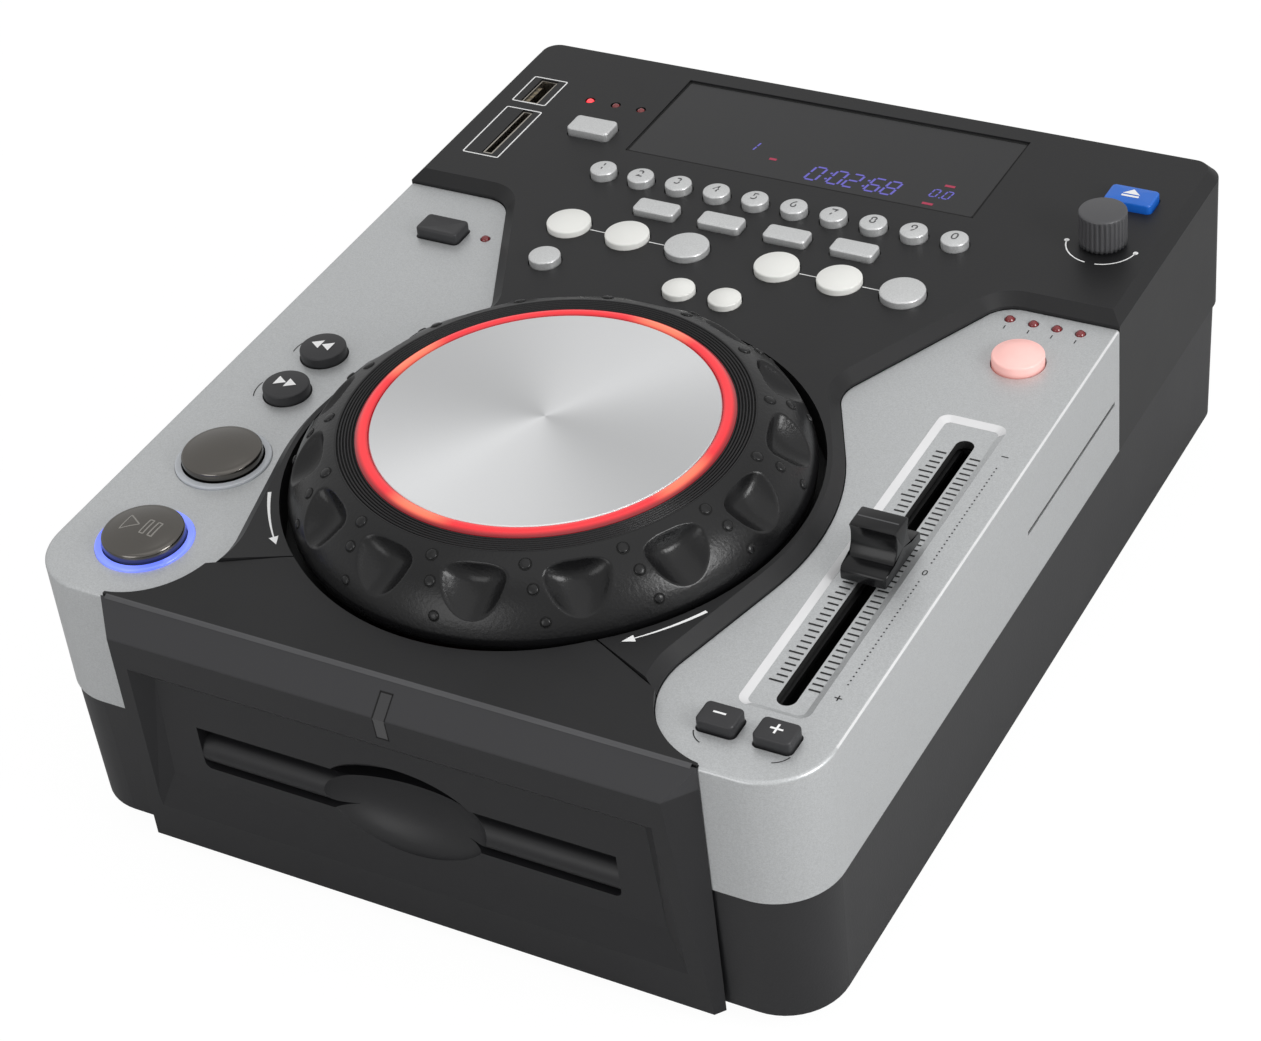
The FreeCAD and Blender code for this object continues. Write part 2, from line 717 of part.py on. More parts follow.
def pitch_fader_knob():
    y = fader_rest
    surface_z = wing_z(y) - fader_recess_depth
    base_z = surface_z + 5.4
    top = surface_z + 14.6
    base = box(fader_x - 6.6, fader_x + 6.6, y - 10.6, y + 10.6, surface_z + 2.0, base_z)
    base = base.makeChamfer(0.9, level_edges(base, base_z))
    grip = box(fader_x - 6.2, fader_x + 6.2, y - 5.4, y + 5.4, base_z, top)
    for side in (-1, 1):
        scoop = rod_along((fader_x - 9, y + side * 11.2, surface_z + 11.0),
                          (fader_x + 9, y + side * 11.2, surface_z + 11.0), 8.0)
        grip = grip.cut(scoop)
    grip = grip.makeFillet(0.6, level_edges(grip, top))
    stem = box(fader_x - 1.1, fader_x + 1.1, y - 4.3, y + 4.3, 74.0, surface_z + 2.0)
    slider = box(fader_x - 4.0, fader_x + 4.0, y - 4.3, y + 4.3, 74.0, 77.5)
    return base.fuse(grip).fuse(stem).fuse(slider).removeSplitter()


# Rotary selector
def encoder_knob():
    x, back = encoder_at
    low = deck_z(back) + 1.0
    top = low + 10.8
    knob = rod(x, back, low, top, 6.9)
    knob = knob.makeFillet(0.7, level_edges(knob, top))
    for index in range(24):
        angle = math.radians(15 * index)
        flute = rod(x + 7.15 * math.cos(angle), back + 7.15 * math.sin(angle), low - 1, top - 1.4, 0.55)
        knob = knob.cut(flute)
    shaft = rod(x, back, low - 12.0, low + 1, 2.95)
    return knob.fuse(shaft).removeSplitter()


# Circuit boards with one small switch under each key
def board_top(side):
    return (deck_front_z - deck_plate if side == "deck" else wing_front_z - wall) - 9.0


def switch_block(key):
    x, back = key["at"]
    base = board_top(key["on"])
    top = surface(key) - plate(key) - 5.0 - key_travel - 0.3
    return box(x - 2.4, x + 2.4, back - 2.4, back + 2.4, base - 0.1, top)


def control_boards():
    rear = box(-106, 106, 165, 276, board_top("deck") - 1.6, board_top("deck"))
    rear = rear.cut(rod(0, jog_back, 0, 200, well_radius + 4))
    rear = rear.cut(box(*usb_hole(0.6), 0, 200)).cut(box(*card_hole(0.6), 0, 200))
    rear = rear.cut(box(56, 120, 150, 206, 0, 200)).cut(box(-120, -56, 150, 206, 0, 200))
    x, back = encoder_at
    bush = rod(x, back, board_top("deck") - 0.1, deck_z(back) - deck_plate - 0.4, 5.5)
    rear = rear.fuse(bush).cut(rod(x, back, board_top("deck") - 0.6, 200, 3.0))
    left = box(-107, -80, 10, 192, board_top("wing") - 1.6, board_top("wing"))
    right_front = box(80, 106, 9, 21.5, board_top("wing") - 1.6, board_top("wing"))
    right_back = box(82, 108, 147.5, 192, board_top("wing") - 1.6, board_top("wing"))
    boards = [rear, left, right_front, right_back]
    for key in keys.values():
        x, back = key["at"]
        if key["on"] == "deck":
            place = 0
        elif x < 0:
            place = 1
        else:
            place = 2 if back < 50 else 3
        boards[place] = boards[place].fuse(switch_block(key))
    return Part.Compound([b.removeSplitter() for b in boards])


def main_board():
    board = box(-90, 90, 172, 262, 14.0, 15.6)
    posts = [rod(x, back, foot_height + wall, 14.0, 2.5) for x in (-82, 82) for back in (178, 256)]
    parts = [box(-84, -30, 200, 250, 15.6, 36), box(10, 34, 196, 220, 15.6, 18.0),
             box(48, 78, 190, 232, 15.6, 24.0)]
    parts += [rod(-18 + 12 * i, 246, 15.6, 32, 4.6) for i in range(3)]
    for piece in posts + parts:
        board = board.fuse(piece)
    return board.removeSplitter()


# Disc transport
spindle_back = 75.0
roller_back = 20.0
roller_radius = 4.0
rail_x = 16.0
sled_rest = 101.0


def transport_chassis():
    frame = box(-72, 72, 10, 152, 24.0, 26.0)
    frame = frame.cut(box(-24, 24, 92, 148, 0, 100))
    for side in (-1, 1):
        x0, x1 = sorted((side * 70.0, side * 72.0))
        frame = frame.fuse(box(x0, x1, 10, 152, 24.0, 50.0))
        x0, x1 = sorted((side * 65.5, side * 67.5))
        ear = box(x0, x1, roller_back - 4, roller_back + 4, 25.0, 48.5)
        frame = frame.fuse(ear)
        frame = frame.cut(rod_along((side * 65, roller_back, 43.2), (side * 69, roller_back, 43.2), 1.55))
        frame = frame.fuse(rod(side * 60, 30, foot_height + wall, 24.2, 3.0))
        frame = frame.fuse(rod(side * 60, 140, foot_height + wall, 24.2, 3.0))
        rail = rod_along((side * rail_x, 90, 32.0), (side * rail_x, 150, 32.0), 1.5)
        frame = frame.fuse(rail)
        frame = frame.fuse(box(side * rail_x - 3, side * rail_x + 3, 88, 91, 25, 35))
        frame = frame.fuse(box(side * rail_x - 3, side * rail_x + 3, 148.5, 151, 25, 35))
    motor = rod(0, spindle_back, 25, 36.5, 13.0)
    frame = frame.fuse(motor).cut(rod(0, spindle_back, 27, 60, 1.55))
    return frame.removeSplitter()


def feed_roller():
    roller = rod_along((-61, roller_back, 43.2), (61, roller_back, 43.2), roller_radius)
    shaft = rod_along((-68.5, roller_back, 43.2), (68.5, roller_back, 43.2), 1.5)
    return roller.fuse(shaft).removeSplitter()


def spindle_hub():
    table = rod(0, spindle_back, 42.5, 46.5, 13.5)
    nose = Part.makeCone(7.3, 5.0, 2.6, V(0, depth(spindle_back), 46.5))
    shaft = rod(0, spindle_back, 28.0, 42.5, 1.5)
    return table.fuse(nose).fuse(shaft).removeSplitter()


def laser_sled():
    body = box(-21, 21, sled_rest - 8, sled_rest + 8, 28.5, 38.0)
    for side in (-1, 1):
        bore = rod_along((side * rail_x, sled_rest - 20, 32.0), (side * rail_x, sled_rest + 20, 32.0), 1.58)
        body = body.cut(bore)
    lens = rod(0, sled_rest, 38.0, 40.5, 3.2)
    return body.fuse(lens).removeSplitter()


# Rear sockets and power switch, in the base's back wall
power_at = (78.0, 28.0)
rocker_tilt = 6.0
inlet_at = (38.0, 28.0)
line_out_x = (-84.0, -68.0)
control_x = -44.0
rear_face = case_depth - 0.65


def rear_cutouts():
    cuts = [box(power_at[0] - 11, power_at[0] + 11, case_depth - 8, case_depth + 5, 20.5, 35.5)]
    cuts.append(box(inlet_at[0] - 14.2, inlet_at[0] + 14.2, case_depth - 8, case_depth + 5, 17.8, 38.2))
    for x in line_out_x + (control_x,):
        cuts.append(rod_along((x, case_depth - 8, 28.0), (x, case_depth + 5, 28.0), 6.4))
    return cuts


def rear_sockets():
    solids = []
    x, z = inlet_at
    face = rear_face + 0.4
    shell = box(x - 14, x + 14, rear_face - 22, face, z - 10, z + 10)
    shell = shell.cut(box(x - 12.2, x + 12.2, rear_face - 16, face + 1, z - 8.2, z + 8.2))
    for dx in (-7.0, 0.0, 7.0):
        shell = shell.fuse(box(x + dx - 1, x + dx + 1, rear_face - 17, rear_face - 4, z - 2, z + 2))
    solids.append(shell.removeSplitter())
    for x in line_out_x:
        sleeve = rod_along((x, rear_face - 10, 28), (x, rear_face - 0.2, 28), 6.2)
        sleeve = sleeve.fuse(rod_along((x, rear_face - 0.2, 28), (x, rear_face + 0.2, 28), 4.2))
        solids.append(sleeve.cut(rod_along((x, rear_face - 8, 28), (x, rear_face + 1, 28), 1.7)).removeSplitter())
    jack = rod_along((control_x, rear_face - 12, 28), (control_x, rear_face + 0.2, 28), 5.8)
    solids.append(jack.cut(rod_along((control_x, rear_face - 11, 28), (control_x, rear_face + 1, 28), 1.8)))
    frame = box(power_at[0] - 10.8, power_at[0] + 10.8, rear_face - 14, rear_face + 0.4, 20.7, 35.3)
    frame = frame.cut(box(power_at[0] - 9.6, power_at[0] + 9.6, rear_face - 12, rear_face + 1, 21.9, 34.1))
    solids.append(frame)
    return Part.Compound(solids)


def power_switch():
    """A rocker that tips about its middle and rests on one side."""
    x, z = power_at
    pivot = V(x - 9.3, depth(rear_face - 6.0), z)
    rocker = Part.makeCylinder(5.6, 18.6, pivot, V(1, 0, 0))
    pad = box(x - 9.3, x + 9.3, rear_face - 5.6, rear_face + 0.2, z - 5.4, z + 5.4)
    for side in (-1, 1):
        pad = pad.cut(half_space((0, rear_face - 0.2, z), (0, 1.0, -side * 0.16)))
    rocker = rocker.fuse(pad).removeSplitter()
    rocker.rotate(pivot, V(1, 0, 0), rocker_tilt)
    return rocker


def rubber_feet():
    feet = []
    for x in (-86, 86):
        for back in (24, 262):
            foot = rod(x, back, 0, foot_height, 8.0)
            feet.append(foot.makeChamfer(0.8, level_edges(foot, 0)))
    return Part.Compound(feet)


def case_screws():
    screws = []
    for x in (-101, 101):
        for back in (22, 264):
            head = rod(x, back, foot_height + 1.6, foot_height + 3.9, 3.0)
            shank = rod(x, back, foot_height + 3.9, 30, 1.65)
            cross = box(x - 2, x + 2, back - 0.4, back + 0.4, foot_height + 1, foot_height + 2.8)
            cross = cross.fuse(box(x - 0.4, x + 0.4, back - 2, back + 2, foot_height + 1, foot_height + 2.8))
            screws.append(head.fuse(shank).cut(cross).removeSplitter())
    return Part.Compound(screws)


pieces = {
    "base_pan": base_pan,
    "top_shell": top_shell,
    "front_nose": front_nose,
    "left_wing": left_wing,
    "right_wing": right_wing,
    "disc_fascia": disc_fascia,
    "display_window": display_window,
    "media_ports": media_ports,
    "button_light_rings": button_light_rings,
    "status_lamps": status_lamps,
    "jog_rim": jog_rim,
    "jog_light_ring": jog_light_ring,
    "jog_disc": jog_disc,
    "jog_bearing": jog_bearing,
    "pitch_fader_body": pitch_fader_body,
    "pitch_fader_knob": pitch_fader_knob,
    "encoder_knob": encoder_knob,
    "control_boards": control_boards,
    "main_board": main_board,
    "transport_chassis": transport_chassis,
    "feed_roller": feed_roller,
    "spindle_hub": spindle_hub,
    "laser_sled": laser_sled,
    "rear_sockets": rear_sockets,
    "power_switch": power_switch,
    "rubber_feet": rubber_feet,
    "case_screws": case_screws,
}

os.makedirs("parts", exist_ok=True)
for name, make in pieces.items():
    save(name, make())
for name, key in keys.items():
    save(name, key_solid(key))
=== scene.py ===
import bpy
import bmesh
import json
import math
import numpy as np
from mathutils import Matrix, Vector


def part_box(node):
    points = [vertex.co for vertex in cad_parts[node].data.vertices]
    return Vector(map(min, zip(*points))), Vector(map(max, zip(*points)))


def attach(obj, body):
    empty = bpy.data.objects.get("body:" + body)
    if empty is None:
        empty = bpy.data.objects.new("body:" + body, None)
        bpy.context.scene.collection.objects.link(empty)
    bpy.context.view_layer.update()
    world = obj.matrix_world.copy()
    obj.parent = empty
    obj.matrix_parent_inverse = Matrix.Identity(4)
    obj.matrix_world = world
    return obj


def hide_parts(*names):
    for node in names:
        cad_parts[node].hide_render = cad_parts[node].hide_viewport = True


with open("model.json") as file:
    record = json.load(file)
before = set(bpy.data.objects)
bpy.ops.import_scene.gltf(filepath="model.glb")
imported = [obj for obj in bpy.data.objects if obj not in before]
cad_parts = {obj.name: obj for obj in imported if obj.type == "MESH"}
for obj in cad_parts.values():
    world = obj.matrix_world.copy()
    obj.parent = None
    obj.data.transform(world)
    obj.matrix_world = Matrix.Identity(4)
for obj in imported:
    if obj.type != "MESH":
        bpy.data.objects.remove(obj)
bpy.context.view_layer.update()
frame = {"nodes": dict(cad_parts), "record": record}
print("frame loaded")

mm = 0.001

# The case: heights of the two top surfaces at the wings' front plane, how they rise to the back, and
# how far the printing stands over them
case = {
    "deckFront": 89.5 * mm,
    "deckSlope": 0.009,
    "wingFront": 85.6 * mm,
    "wingSlope": 0.008,
    "printLift": 0.05 * mm,
}
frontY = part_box("left_wing")[0][1]
jogCentre = ((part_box("jog_disc")[0][0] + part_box("jog_disc")[1][0]) / 2,
             (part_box("jog_rim")[0][1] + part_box("jog_rim")[1][1]) / 2)


def deckZ(y):
    return case["deckFront"] + case["deckSlope"] * (y - frontY)


def wingZ(y):
    return case["wingFront"] + case["wingSlope"] * (y - frontY)


def place(x, back):
    # millimetres right of the middle and behind the wings' front plane, as a point in the frame
    return np.array([x * mm, frontY + back * mm])


# The jog wheel: radii and heights of its section, its hollows, dots and grooves; turns in degrees
jog = {
    "edgeRadius": 70.4 * mm,
    "middleRadius": 64.6 * mm,
    "flatRadius": 55.3 * mm,
    "boreRadius": 50.3 * mm,
    "edgeHeight": 89.9 * mm,
    "middleHeight": 100.6 * mm,
    "flatHeight": 106.2 * mm,
    "skirtHeight": 86.3 * mm,
    "hollows": 15,
    "hollowTurn": -77.5,
    "hollowHalfWidth": 9.3 * mm,
    "hollowLength": 15.0 * mm,
    "hollowStart": 3.6 * mm,
    "hollowDepth": 4.5 * mm,
    "hollowWidest": 0.35,
    "hollowTaper": 0.25,
    "hollowPowers": {"side": 2.2, "inner": 2.5, "outer": 2.2, "bowl": 0.9},
    "dotTurn": -89.5,
    "dotRadii": (58.8 * mm, 64.2 * mm, 69.0 * mm),
    "dotSizes": (1.45 * mm, 1.35 * mm, 1.25 * mm),
    "dotShifts": (0.0, 1.8, 4.0),
    "dotHeight": 0.55 * mm,
    "shadeRingWidth": 0.32 * mm,
    "grooves": 6,
    "grooveDepth": 0.55 * mm,
    "grooveFlats": (-0.8, 0.6),
    "boreDepth": 3.9 * mm,
    "lightRadius": 48.1 * mm,
}
groovePeriod = (jog["flatRadius"] - jog["boreRadius"]) / jog["grooves"]


# Materials
def operation(name, swapped=False):
    def method(self, other):
        return self.finish.math(name, *((other, self) if swapped else (self, other)))
    return method


class Value:
    # A socket of a material, so that shader maths reads as arithmetic
    def __init__(self, finish, socket):
        self.finish = finish
        self.socket = socket

    __add__ = __radd__ = operation("ADD")
    __mul__ = __rmul__ = operation("MULTIPLY")
    __sub__ = operation("SUBTRACT")
    __rsub__ = operation("SUBTRACT", swapped=True)
    __lt__ = operation("LESS_THAN")
    __gt__ = operation("GREATER_THAN")


class Finish:
    # One material: a Principled shader, its constants, and values that vary over the surface
    def __init__(self, name, constants):
        self.material = bpy.data.materials.new(name)
        self.material.use_nodes = True
        self.tree = self.material.node_tree
        self.tree.nodes.clear()
        self.output = self.tree.nodes.new("ShaderNodeOutputMaterial")
        self.shader = self.tree.nodes.new("ShaderNodeBsdfPrincipled")
        self.tree.links.new(self.shader.outputs[0], self.output.inputs["Surface"])
        for key, value in constants.items():
            self.plug(self.shader.inputs[key], value)

    def plug(self, socket, value):
        if isinstance(value, Value):
            self.tree.links.new(value.socket, socket)
        else:
            socket.default_value = value

    def node(self, kind, settings, inputs, output=0):
        made = self.tree.nodes.new(kind)
        for key, value in settings.items():
            setattr(made, key, value)
        for key, value in inputs.items():
            self.plug(made.inputs[key], value)
        return Value(self, made.outputs[output])

    def math(self, operation, *values):
        return self.node("ShaderNodeMath", {"operation": operation}, dict(enumerate(values)))

    def mix(self, factor, low, high):
        settings = {"data_type": "RGBA"}
        return self.node("ShaderNodeMix", settings, {0: factor, 6: low, 7: high}, 2)

    def ramp(self, value, low, high):
        # 0 below low, 1 above high, smooth between them
        inputs = {"Value": value, "From Min": low, "From Max": high}
        return self.node("ShaderNodeMapRange", {"interpolation_type": "SMOOTHSTEP"}, inputs)

    def coordinates(self):
        return self.node("ShaderNodeTexCoord", {}, {}, 3)

    def axes(self):
        split = self.node("ShaderNodeSeparateXYZ", {}, {0: self.coordinates()})
        return [Value(self, output) for output in split.socket.node.outputs]

    def aroundJog(self):
        # Distance from the jog wheel's axis, and the angle round it
        x, y = self.axes()[:2]
        right, back = x - jogCentre[0], y - jogCentre[1]
        return self.math("SQRT", right * right + back * back), self.math("ARCTAN2", back, right)

    def noise(self, scale, detail=2.0):
        inputs = {"Vector": self.coordinates(), "Scale": scale, "Detail": detail}
        return self.node("ShaderNodeTexNoise", {}, inputs)

    def wander(self, roughness, slow):
        # Gloss that goes up and down a little with a slow noise
        self.set("Roughness", roughness - 0.04 + 0.08 * slow)

    def bump(self, height, distance):
        inputs = {"Height": height, "Distance": distance, "Strength": 1.0}
        self.plug(self.shader.inputs["Normal"], self.node("ShaderNodeBump", {}, inputs))

    def set(self, name, value):
        self.plug(self.shader.inputs[name], value)


def linear(channel):
    return channel / 12.92 if channel <= 0.04045 else ((channel + 0.055) / 1.055) ** 2.4


def tone(code):
    return tuple(linear(int(code[index:index + 2], 16) / 255) for index in (1, 3, 5)) + (1.0,)


def scaled(colour, factor):
    return tuple(part * factor for part in colour[:3]) + (1.0,)


slowScale = 38.0


def moulded(name, code, roughness, grainScale, grainDepth, mottle=0.08, coat=0.0, shine=0.5):
    # Moulded plastic: a fine grain in the normal, and slow changes of tone and gloss
    finish = Finish(name, {"Coat Weight": coat, "Coat Roughness": 0.25, "Specular IOR Level": shine})
    colour = tone(code)
    slow = finish.noise(slowScale, 3.0)
    tones = scaled(colour, 1 - mottle), scaled(colour, 1 + mottle)
    finish.set("Base Color", finish.mix(finish.ramp(slow, 0.3, 0.7), *tones))
    finish.wander(roughness, slow)
    finish.bump(finish.noise(grainScale), grainDepth * mm)
    return finish.material


def silverPaint(name, code, roughness, flake):
    # Silver paint: flakes of slightly different tone, over a soft orange peel
    finish = Finish(name, {"Metallic": 0.55, "Coat Weight": 0.15, "Coat Roughness": 0.3})
    colour = tone(code)
    cells = finish.node("ShaderNodeTexVoronoi", {}, {"Vector": finish.coordinates(), "Scale": flake}, 1)
    tones = finish.node("ShaderNodeSeparateColor", {}, {0: cells})
    finish.set("Base Color", finish.mix(tones, scaled(colour, 0.9), scaled(colour, 1.08)))
    finish.set("Roughness", roughness - 0.05 + 0.1 * tones)
    finish.bump(finish.noise(900.0), 0.012 * mm)
    return finish.material


def brushedDisc(name):
    # Turned aluminium: fine rings in the normal; the soft rays of tone round the centre are painted
    # highlights, where the turned metal would reflect the light
    finish = Finish(name, {"Metallic": 1.0, "Anisotropic": 0.75})
    radius, angle = finish.aroundJog()
    rays = finish.math("COSINE", 2.0 * angle - 2.9) * 0.4
    rays = rays + finish.math("COSINE", angle + 1.6) * 0.1 + 0.5
    rings = {"W": radius * 5200.0, "Detail": 2.0}
    fine = finish.node("ShaderNodeTexNoise", {"noise_dimensions": "1D"}, rings)
    # The disc's tone: mostly the painted highlight rays, with the rings' own tone over them
    level = finish.ramp(0.7 * rays + 0.3 * fine, 0.0, 1.0)
    finish.set("Base Color", finish.mix(level, tone("#d2d3d4"), tone("#fbfcfd")))
    finish.set("Roughness", 0.28 + 0.12 * fine)
    finish.bump(fine, 0.008 * mm)
    return finish.material


def litRing(name):
    # The lit red ring: coral along its crown, crimson at its edges, with a few hot spots
    finish = Finish(name, {"Roughness": 0.2, "Emission Strength": 0.8, "Coat Weight": 0.25})
    radius, angle = finish.aroundJog()
    crown = 1.0 - finish.ramp(finish.math("ABSOLUTE", radius - jog["lightRadius"]), 0.5 * mm, 2.0 * mm)
    spots = finish.math("COSINE", 4.0 * angle + 0.9) * 0.5 + 0.5
    spots = finish.ramp(spots, 0.75, 1.0)
    lit = finish.mix(crown, tone("#7c0814"), tone("#e02430"))
    finish.set("Base Color", finish.mix(crown, tone("#5a0810"), tone("#b01e22")))
    finish.set("Emission Color", finish.mix(spots * crown, lit, tone("#ff9068")))
    return finish.material


def groovedRing(name):
    # The flat ring round the light: glossy black, with painted shade, a darker band along each groove's
    # floor
    finish = Finish(name, {"Roughness": 0.28, "Specular IOR Level": 0.22})
    radius = finish.aroundJog()[0]
    wave = finish.math("COSINE", (radius - jog["boreRadius"]) * (2 * math.pi / groovePeriod))
    # Painted shade: near black down in each groove, dark grey on the flats between
    finish.set("Base Color", finish.mix(finish.ramp(wave, -0.5, 0.3), tone("#020202"), tone("#242425")))
    return finish.material


fascia = {
    "tone": "#1b1b1d",
    "border": "#303032",
    "borderFrom": 79.4 * mm,
    "edge": 0.3 * mm,
    "roughness": 0.44,
}


def fasciaFinish(name):
    # The fascia's plastic, paler on the border over the recess, where the light falls on it
    finish = Finish(name, {"Specular IOR Level": 0.4})
    over = finish.axes()[2]
    over = finish.ramp(over, fascia["borderFrom"] - fascia["edge"], fascia["borderFrom"] + fascia["edge"])
    finish.set("Base Color", finish.mix(over, tone(fascia["tone"]), tone(fascia["border"])))
    finish.wander(fascia["roughness"], finish.noise(slowScale, 3.0))
    finish.bump(finish.noise(1700), 0.015 * mm)
    return finish.material


def clearRings(name):
    # One clear ring round each of the two large buttons: the front one is lit blue
    finish = Finish(name, {"Roughness": 0.15, "Emission Strength": 0.9, "Coat Weight": 0.5})
    # The lit one is the ring less than 42 mm behind the front plane
    front = finish.axes()[1] < (frontY + 42 * mm)
    lit = finish.mix(finish.noise(90.0, 1.0), tone("#3f55e8"), tone("#8fa0ff"))
    finish.set("Emission Color", finish.mix(front, tone("#000000"), lit))
    finish.set("Base Color", finish.mix(front, tone("#b9bdc2"), tone("#5566d8")))
    return finish.material


def lampFinish(name):
    # Red lamps, the first of the source lamps lit; the light guide in the fascia is dark
    finish = Finish(name, {"Roughness": 0.12, "Emission Strength": 1.0, "Coat Weight": 0.8})
    x, y = finish.axes()[:2]
    guide = y < (frontY + 1 * mm)
    lit = (x < (-78 * mm)) * (y > (frontY + 240 * mm))
    red = finish.mix(lit, tone("#6d1014"), tone("#e04048"))
    finish.set("Base Color", finish.mix(guide, red, tone("#1f1f21")))
    dim = finish.mix(guide, tone("#1c0002"), tone("#000000"))
    finish.set("Emission Color", finish.mix(lit, dim, tone("#ff2a34")))
    return finish.material


def plain(name, code, roughness, metallic, scale, depth, glow=None, strength=0.0):
    # A small part's finish: its tone and gloss wander a little, over a light texture
    finish = Finish(name, {"Metallic": metallic})
    colour = tone(code)
    slow = finish.noise(scale)
    finish.set("Base Color", finish.mix(slow, scaled(colour, 0.88), colour))
    finish.wander(roughness, slow)
    finish.bump(slow, depth * mm)
    if glow:
        finish.set("Emission Color", tone(glow))
        finish.set("Emission Strength", strength)
    return finish.material


def boardFinish(name):
    # Lacquered board: darker where tracks run under the lacquer
    finish = Finish(name, {"Roughness": 0.3, "Coat Weight": 0.5})
    x, y = finish.axes()[:2]
    tracks = finish.math("SINE", x * 2600.0) * finish.math("SINE", y * 2100.0)
    factor = finish.ramp(tracks + 0.5 * finish.noise(120.0), 0.2, 0.4)
    finish.set("Base Color", finish.mix(factor, tone("#12402a"), tone("#1f6a44")))
    return finish.material


# Name, tone, roughness, grain's scale and depth in mm, then mottling, coat and shine where not usual
mouldedLooks = {
    "deck": ("deckPlastic", "#1e1e1f", 0.44, 1500, 0.02, 0.08, 0.0, 0.3),
    "base": ("basePlastic", "#1c1c1e", 0.46, 1300, 0.03),
    "rim": ("rimPlastic", "#101011", 0.28, 1100, 0.06, 0.08, 0.0, 0.38),
    "rubberKey": ("darkRubber", "#29292b", 0.5, 1400, 0.015),
    "whiteKey": ("whiteRubber", "#e6e6e2", 0.42, 900, 0.008, 0.02),
    "knobGrey": ("knobPlastic", "#4a4a4c", 0.42, 1500, 0.01),
    # A paler plastic: painted highlight along the fascia's top edge
    "edgeShine": ("edgePlastic", "#454547", 0.34, 1700, 0.004, 0.05),
    "window": ("smokedWindow", "#141416", 0.24, 2200, 0.003, 0.05, 0.15, 0.35),
    "control": ("controlPlastic", "#121213", 0.2, 1600, 0.004, 0.08, 0.0, 0.32),
}
# Name, tone, roughness and the flakes' scale
silverLooks = {
    "silver": ("wingPaint", "#c0c2c3", 0.42, 3800.0),
    "silverKey": ("keyPaint", "#d2d3d3", 0.34, 5200.0),
}
# Name, tone, roughness, metallic, texture's scale and depth in mm, then any glow's tone and strength
plainLooks = {
    "darkChrome": ("gunmetal", "#6c6965", 0.2, 1.0, 60.0, 0.02),
    "blueKey": ("blueKey", "#1d5fb4", 0.25, 0.0, 300.0, 0.01, "#0b4fb8", 0.25),
    "pinkKey": ("pinkKey", "#ecc4be", 0.35, 0.0, 300.0, 0.01, "#ff9086", 0.24),
    "engraved": ("engravedSign", "#97948f", 0.35, 0.6, 900.0, 0.004),
    "slitShade": ("slitShade", "#303031", 0.7, 0.0, 900.0, 0.004),
    "contact": ("contactMetal", "#d8cfb8", 0.25, 1.0, 900.0, 0.004),
    "metal": ("platedSheet", "#b8b2a8", 0.3, 1.0, 400.0, 0.01),
    "steel": ("galvanisedSheet", "#a9abad", 0.35, 1.0, 150.0, 0.02),
    "brass": ("turnedBrass", "#c9a25a", 0.3, 1.0, 500.0, 0.01),
    "screw": ("blackScrew", "#4a4a4c", 0.35, 0.9, 900.0, 0.02),
    "rubber": ("rollerRubber", "#1c1c1c", 0.7, 0.0, 1500.0, 0.03),
    "hub": ("hubPlastic", "#202022", 0.4, 0.0, 800.0, 0.01),
    "socket": ("socketPlastic", "#161616", 0.4, 0.0, 900.0, 0.02),
    "whiteInk": ("whiteInk", "#f2f2f2", 0.6, 0.0, 2000.0, 0.002),
    "greyInk": ("greyInk", "#4a4a4c", 0.6, 0.0, 2000.0, 0.002),
    "blackInk": ("blackInk", "#101010", 0.6, 0.0, 2000.0, 0.002),
    "digitLight": ("digitLight", "#4a4688", 0.5, 0.0, 2000.0, 0.002, "#6a62c8", 0.5),
    "markLight": ("markLight", "#702038", 0.5, 0.0, 2000.0, 0.002, "#b02848", 0.55),
    # Near black: painted shade in the fader's slot and round the jog's dots, and the dark outlines round
    # the light guide and the display window
    "blackShadeAndOutline": ("darkCavity", "#060606", 0.9, 0.0, 500.0, 0.01),
    # A paler silver: painted highlight on the fader recess's lit sides and along the wings' top edges
    "highlightSilver": ("recessPaint", "#e6e6e7", 0.34, 0.35, 60.0, 0.001),
}
materials = {
    "fascia": fasciaFinish("fasciaPlastic"),
    "groove": groovedRing("ringPlastic"),
    "board": boardFinish("circuitBoard"),
    "disc": brushedDisc("turnedAluminium"),
    "jogLight": litRing("jogLight"),
    "clearRing": clearRings("clearRing"),
    "lamp": lampFinish("redLamp"),
}
for make, looks in ((moulded, mouldedLooks), (silverPaint, silverLooks), (plain, plainLooks)):
    for label, look in looks.items():
        materials[label] = make(*look)

# The CAD's own pieces by finish
finishNodes = {
    "base": ("base_pan",),
    "deck": ("top_shell", "front_nose"),
    "silver": ("left_wing", "right_wing"),
    "fascia": ("disc_fascia",),
    "window": ("display_window",),
    "metal": ("media_ports",),
    "clearRing": ("button_light_rings",),
    "lamp": ("status_lamps",),
    "rim": ("jog_rim",),
    "jogLight": ("jog_light_ring",),
    "disc": ("jog_disc",),
    "brass": ("jog_bearing",),
    "socket": ("pitch_fader_body", "rear_sockets", "power_switch"),
    "control": ("pitch_fader_knob",),
    "knobGrey": ("encoder_knob",),
    "board": ("control_boards", "main_board"),
    "steel": ("transport_chassis",),
    "rubber": ("feed_roller", "rubber_feet"),
    "hub": ("spindle_hub", "laser_sled"),
    "screw": ("case_screws",),
}
